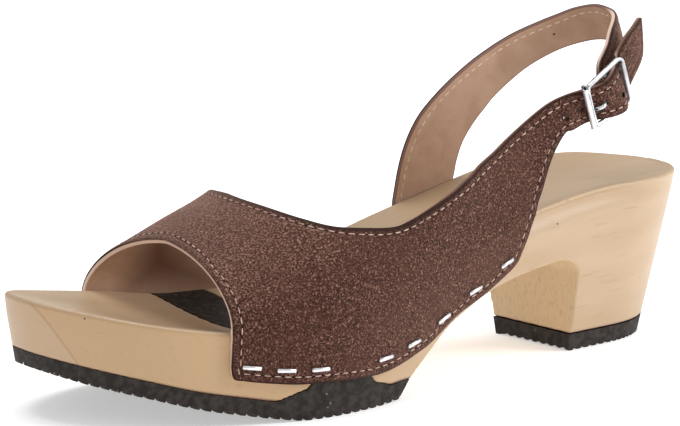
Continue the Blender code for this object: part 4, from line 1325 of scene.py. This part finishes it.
sleeve_path = [buckle_point(SLEEVE_FORWARD, upward, FRONT_SIDE_OUT) for upward in (SLEEVE_FOOT, SLEEVE_TOP)]

buckle = loft(
    "nickel_frame",
    wire_rings(ring_path, BUCKLE_WIRE, BUCKLE_OUT, WIRE_POWER, True),
    wire_rings(bar_path, BAR_WIRE, BUCKLE_AHEAD),
    bored(sleeve_path, SLEEVE_RADIUS, BUCKLE_OUT),
)
prong = loft("nickel_prong", bored(prong_path, PRONG_WIRE, BUCKLE_ACROSS))
lit = (BUCKLE_OUT + 0.6 * BUCKLE_AHEAD + 0.2 * BUCKLE_ACROSS).normalized()
bores = [(sleeve_path[k], sleeve_path[1] - sleeve_path[0], SLEEVE_RADIUS) for k in (0, 1)]
bores.append((prong_path[-1], prong_path[-1] - prong_path[-2], PRONG_WIRE))


def in_bore(point):
    """Whether a point of the last lies in the bore of the tube or of the prong's end."""
    for end, ahead, radius in bores:
        away = point - end
        from_axis = away.cross(ahead.normalized()).length
        if away.length < 2 * radius and from_axis < (BORE_SHARE + LIP_SHARE) / 2 * radius:
            return True
    return False


def prong_marks(vert, point):
    """How much painted shade and painted dark reflection the nickel gets: in a bore, under a rail and on
    faces that turn from the light.
    """
    if in_bore(point):
        return {"painted_metal_shade": 1.0}
    start = -0.2 if (point - BUCKLE_CENTRE).dot(BUCKLE_ACROSS) > RAIL_TOP - BUCKLE_WIRE else 0.1
    under_face = ease(start, start + 0.4, -vert.normal.dot(BUCKLE_ACROSS))
    return {"painted_metal_shade": max(HALF_METAL_SHADE * ease(0.6, 0.1, vert.normal.dot(lit)), under_face)}


def frame_marks(vert, point):
    """The same on the frame, where the hidden bar gets painted shade too and the tube a painted dark
    reflection by its sides.
    """
    place = point - BUCKLE_CENTRE
    forward = place.dot(BUCKLE_AHEAD)
    from_sleeve = Vector((forward - SLEEVE_FORWARD, place.dot(BUCKLE_OUT) - FRONT_SIDE_OUT))
    if abs(forward) < BAR_REACH * BAR_WIRE:
        return {"painted_metal_shade": 1.0}
    if in_bore(point) or from_sleeve.length >= SLEEVE_REACH * SLEEVE_RADIUS:
        return prong_marks(vert, point)
    facing, outward = from_sleeve.normalized()
    under = ease(0.0, -0.4, outward) * ease(0.0, 0.2, facing)
    return {"painted_metal_shade": max(under, HALF_METAL_SHADE * ease(0.1, 0.45, -facing))}


for piece, node, marks in ((buckle, "buckle_frame", frame_marks), (prong, "buckle_prong", prong_marks)):
    mark_points(piece, marks)
    piece.data.set_sharp_from_angle(angle=BUCKLE_CREASE)
    piece.data.materials.append(nickel)
    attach(piece, "root")
    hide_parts(node)

# Studio: a pale floor, a broad soft light over the outer side and the camera at the photograph's angle.
FLOOR_SIZE = 8.0
GLOW = 0.45
WHITE = (1.0, 1.0, 1.0, 1.0)
bm = bmesh.new()
bmesh.ops.create_grid(bm, x_segments=1, y_segments=1, size=FLOOR_SIZE / 2)
floor = add_piece("floor", bm)
paper = new_material("pale_paper")
set_shader(paper, {
    "Base Color": mix(paper, speckle(paper, 40.0), tone(244, 244, 244), tone(247, 247, 247)),
    "Roughness": 0.9,
    "Emission Color": WHITE,
    "Emission Strength": GLOW,
})
floor.data.materials.append(paper)

scene = bpy.context.scene
scene.view_settings.view_transform = "Standard"
scene.world = bpy.data.worlds.new("studio")
scene.world.use_nodes = True
backdrop = scene.world.node_tree.nodes["Background"]
backdrop.inputs["Color"].default_value = WHITE
backdrop.inputs["Strength"].default_value = GLOW


def add_lamp(name, place, target, size, power):
    lamp = bpy.data.lights.new(name, "AREA")
    lamp.shape = "DISK"
    lamp.size = size
    lamp.energy = power
    obj = bpy.data.objects.new(name, lamp)
    obj.location = place
    obj.rotation_euler = (Vector(target) - Vector(place)).to_track_quat("-Z", "Y").to_euler()
    scene.collection.objects.link(obj)


add_lamp("key", (-1.1, 1.0, 0.8), (-0.05, 0.0, 0.05), 0.9, 18.0)
add_lamp("top", (0.1, -0.3, 1.5), (0.0, 0.0, 0.0), 1.1, 12.0)

PHOTO_WIDTH = 680.0
PHOTO_HEIGHT = 426.0
VIEW_TURN = math.radians(33.817)
VIEW_RISE = math.radians(11.421)
VIEW_ROLL = math.radians(1.064)
VIEW_DISTANCE = 1103.1
VIEW_FOCUS = 3306.6
VIEW_CENTRE = Vector((125.0, 0.0, 40.0))
CENTRE_PIXEL = (367.46, 253.65)
level_view = Euler((quarter - VIEW_RISE, 0.0, math.pi - VIEW_TURN)).to_matrix()
view = level_view @ Matrix.Rotation(-VIEW_ROLL, 3, "Z")
lens = bpy.data.cameras.new("camera")
lens.sensor_width = 36.0
lens.lens = VIEW_FOCUS * lens.sensor_width / PHOTO_WIDTH
lens.shift_x = -(CENTRE_PIXEL[0] - PHOTO_WIDTH / 2) / PHOTO_WIDTH
lens.shift_y = (CENTRE_PIXEL[1] - PHOTO_HEIGHT / 2) / PHOTO_WIDTH
camera = bpy.data.objects.new("camera", lens)
place = on_frame(VIEW_CENTRE + view.col[2] * VIEW_DISTANCE)
camera.matrix_world = Matrix.Translation(place) @ view.to_4x4()
scene.collection.objects.link(camera)
scene.camera = camera
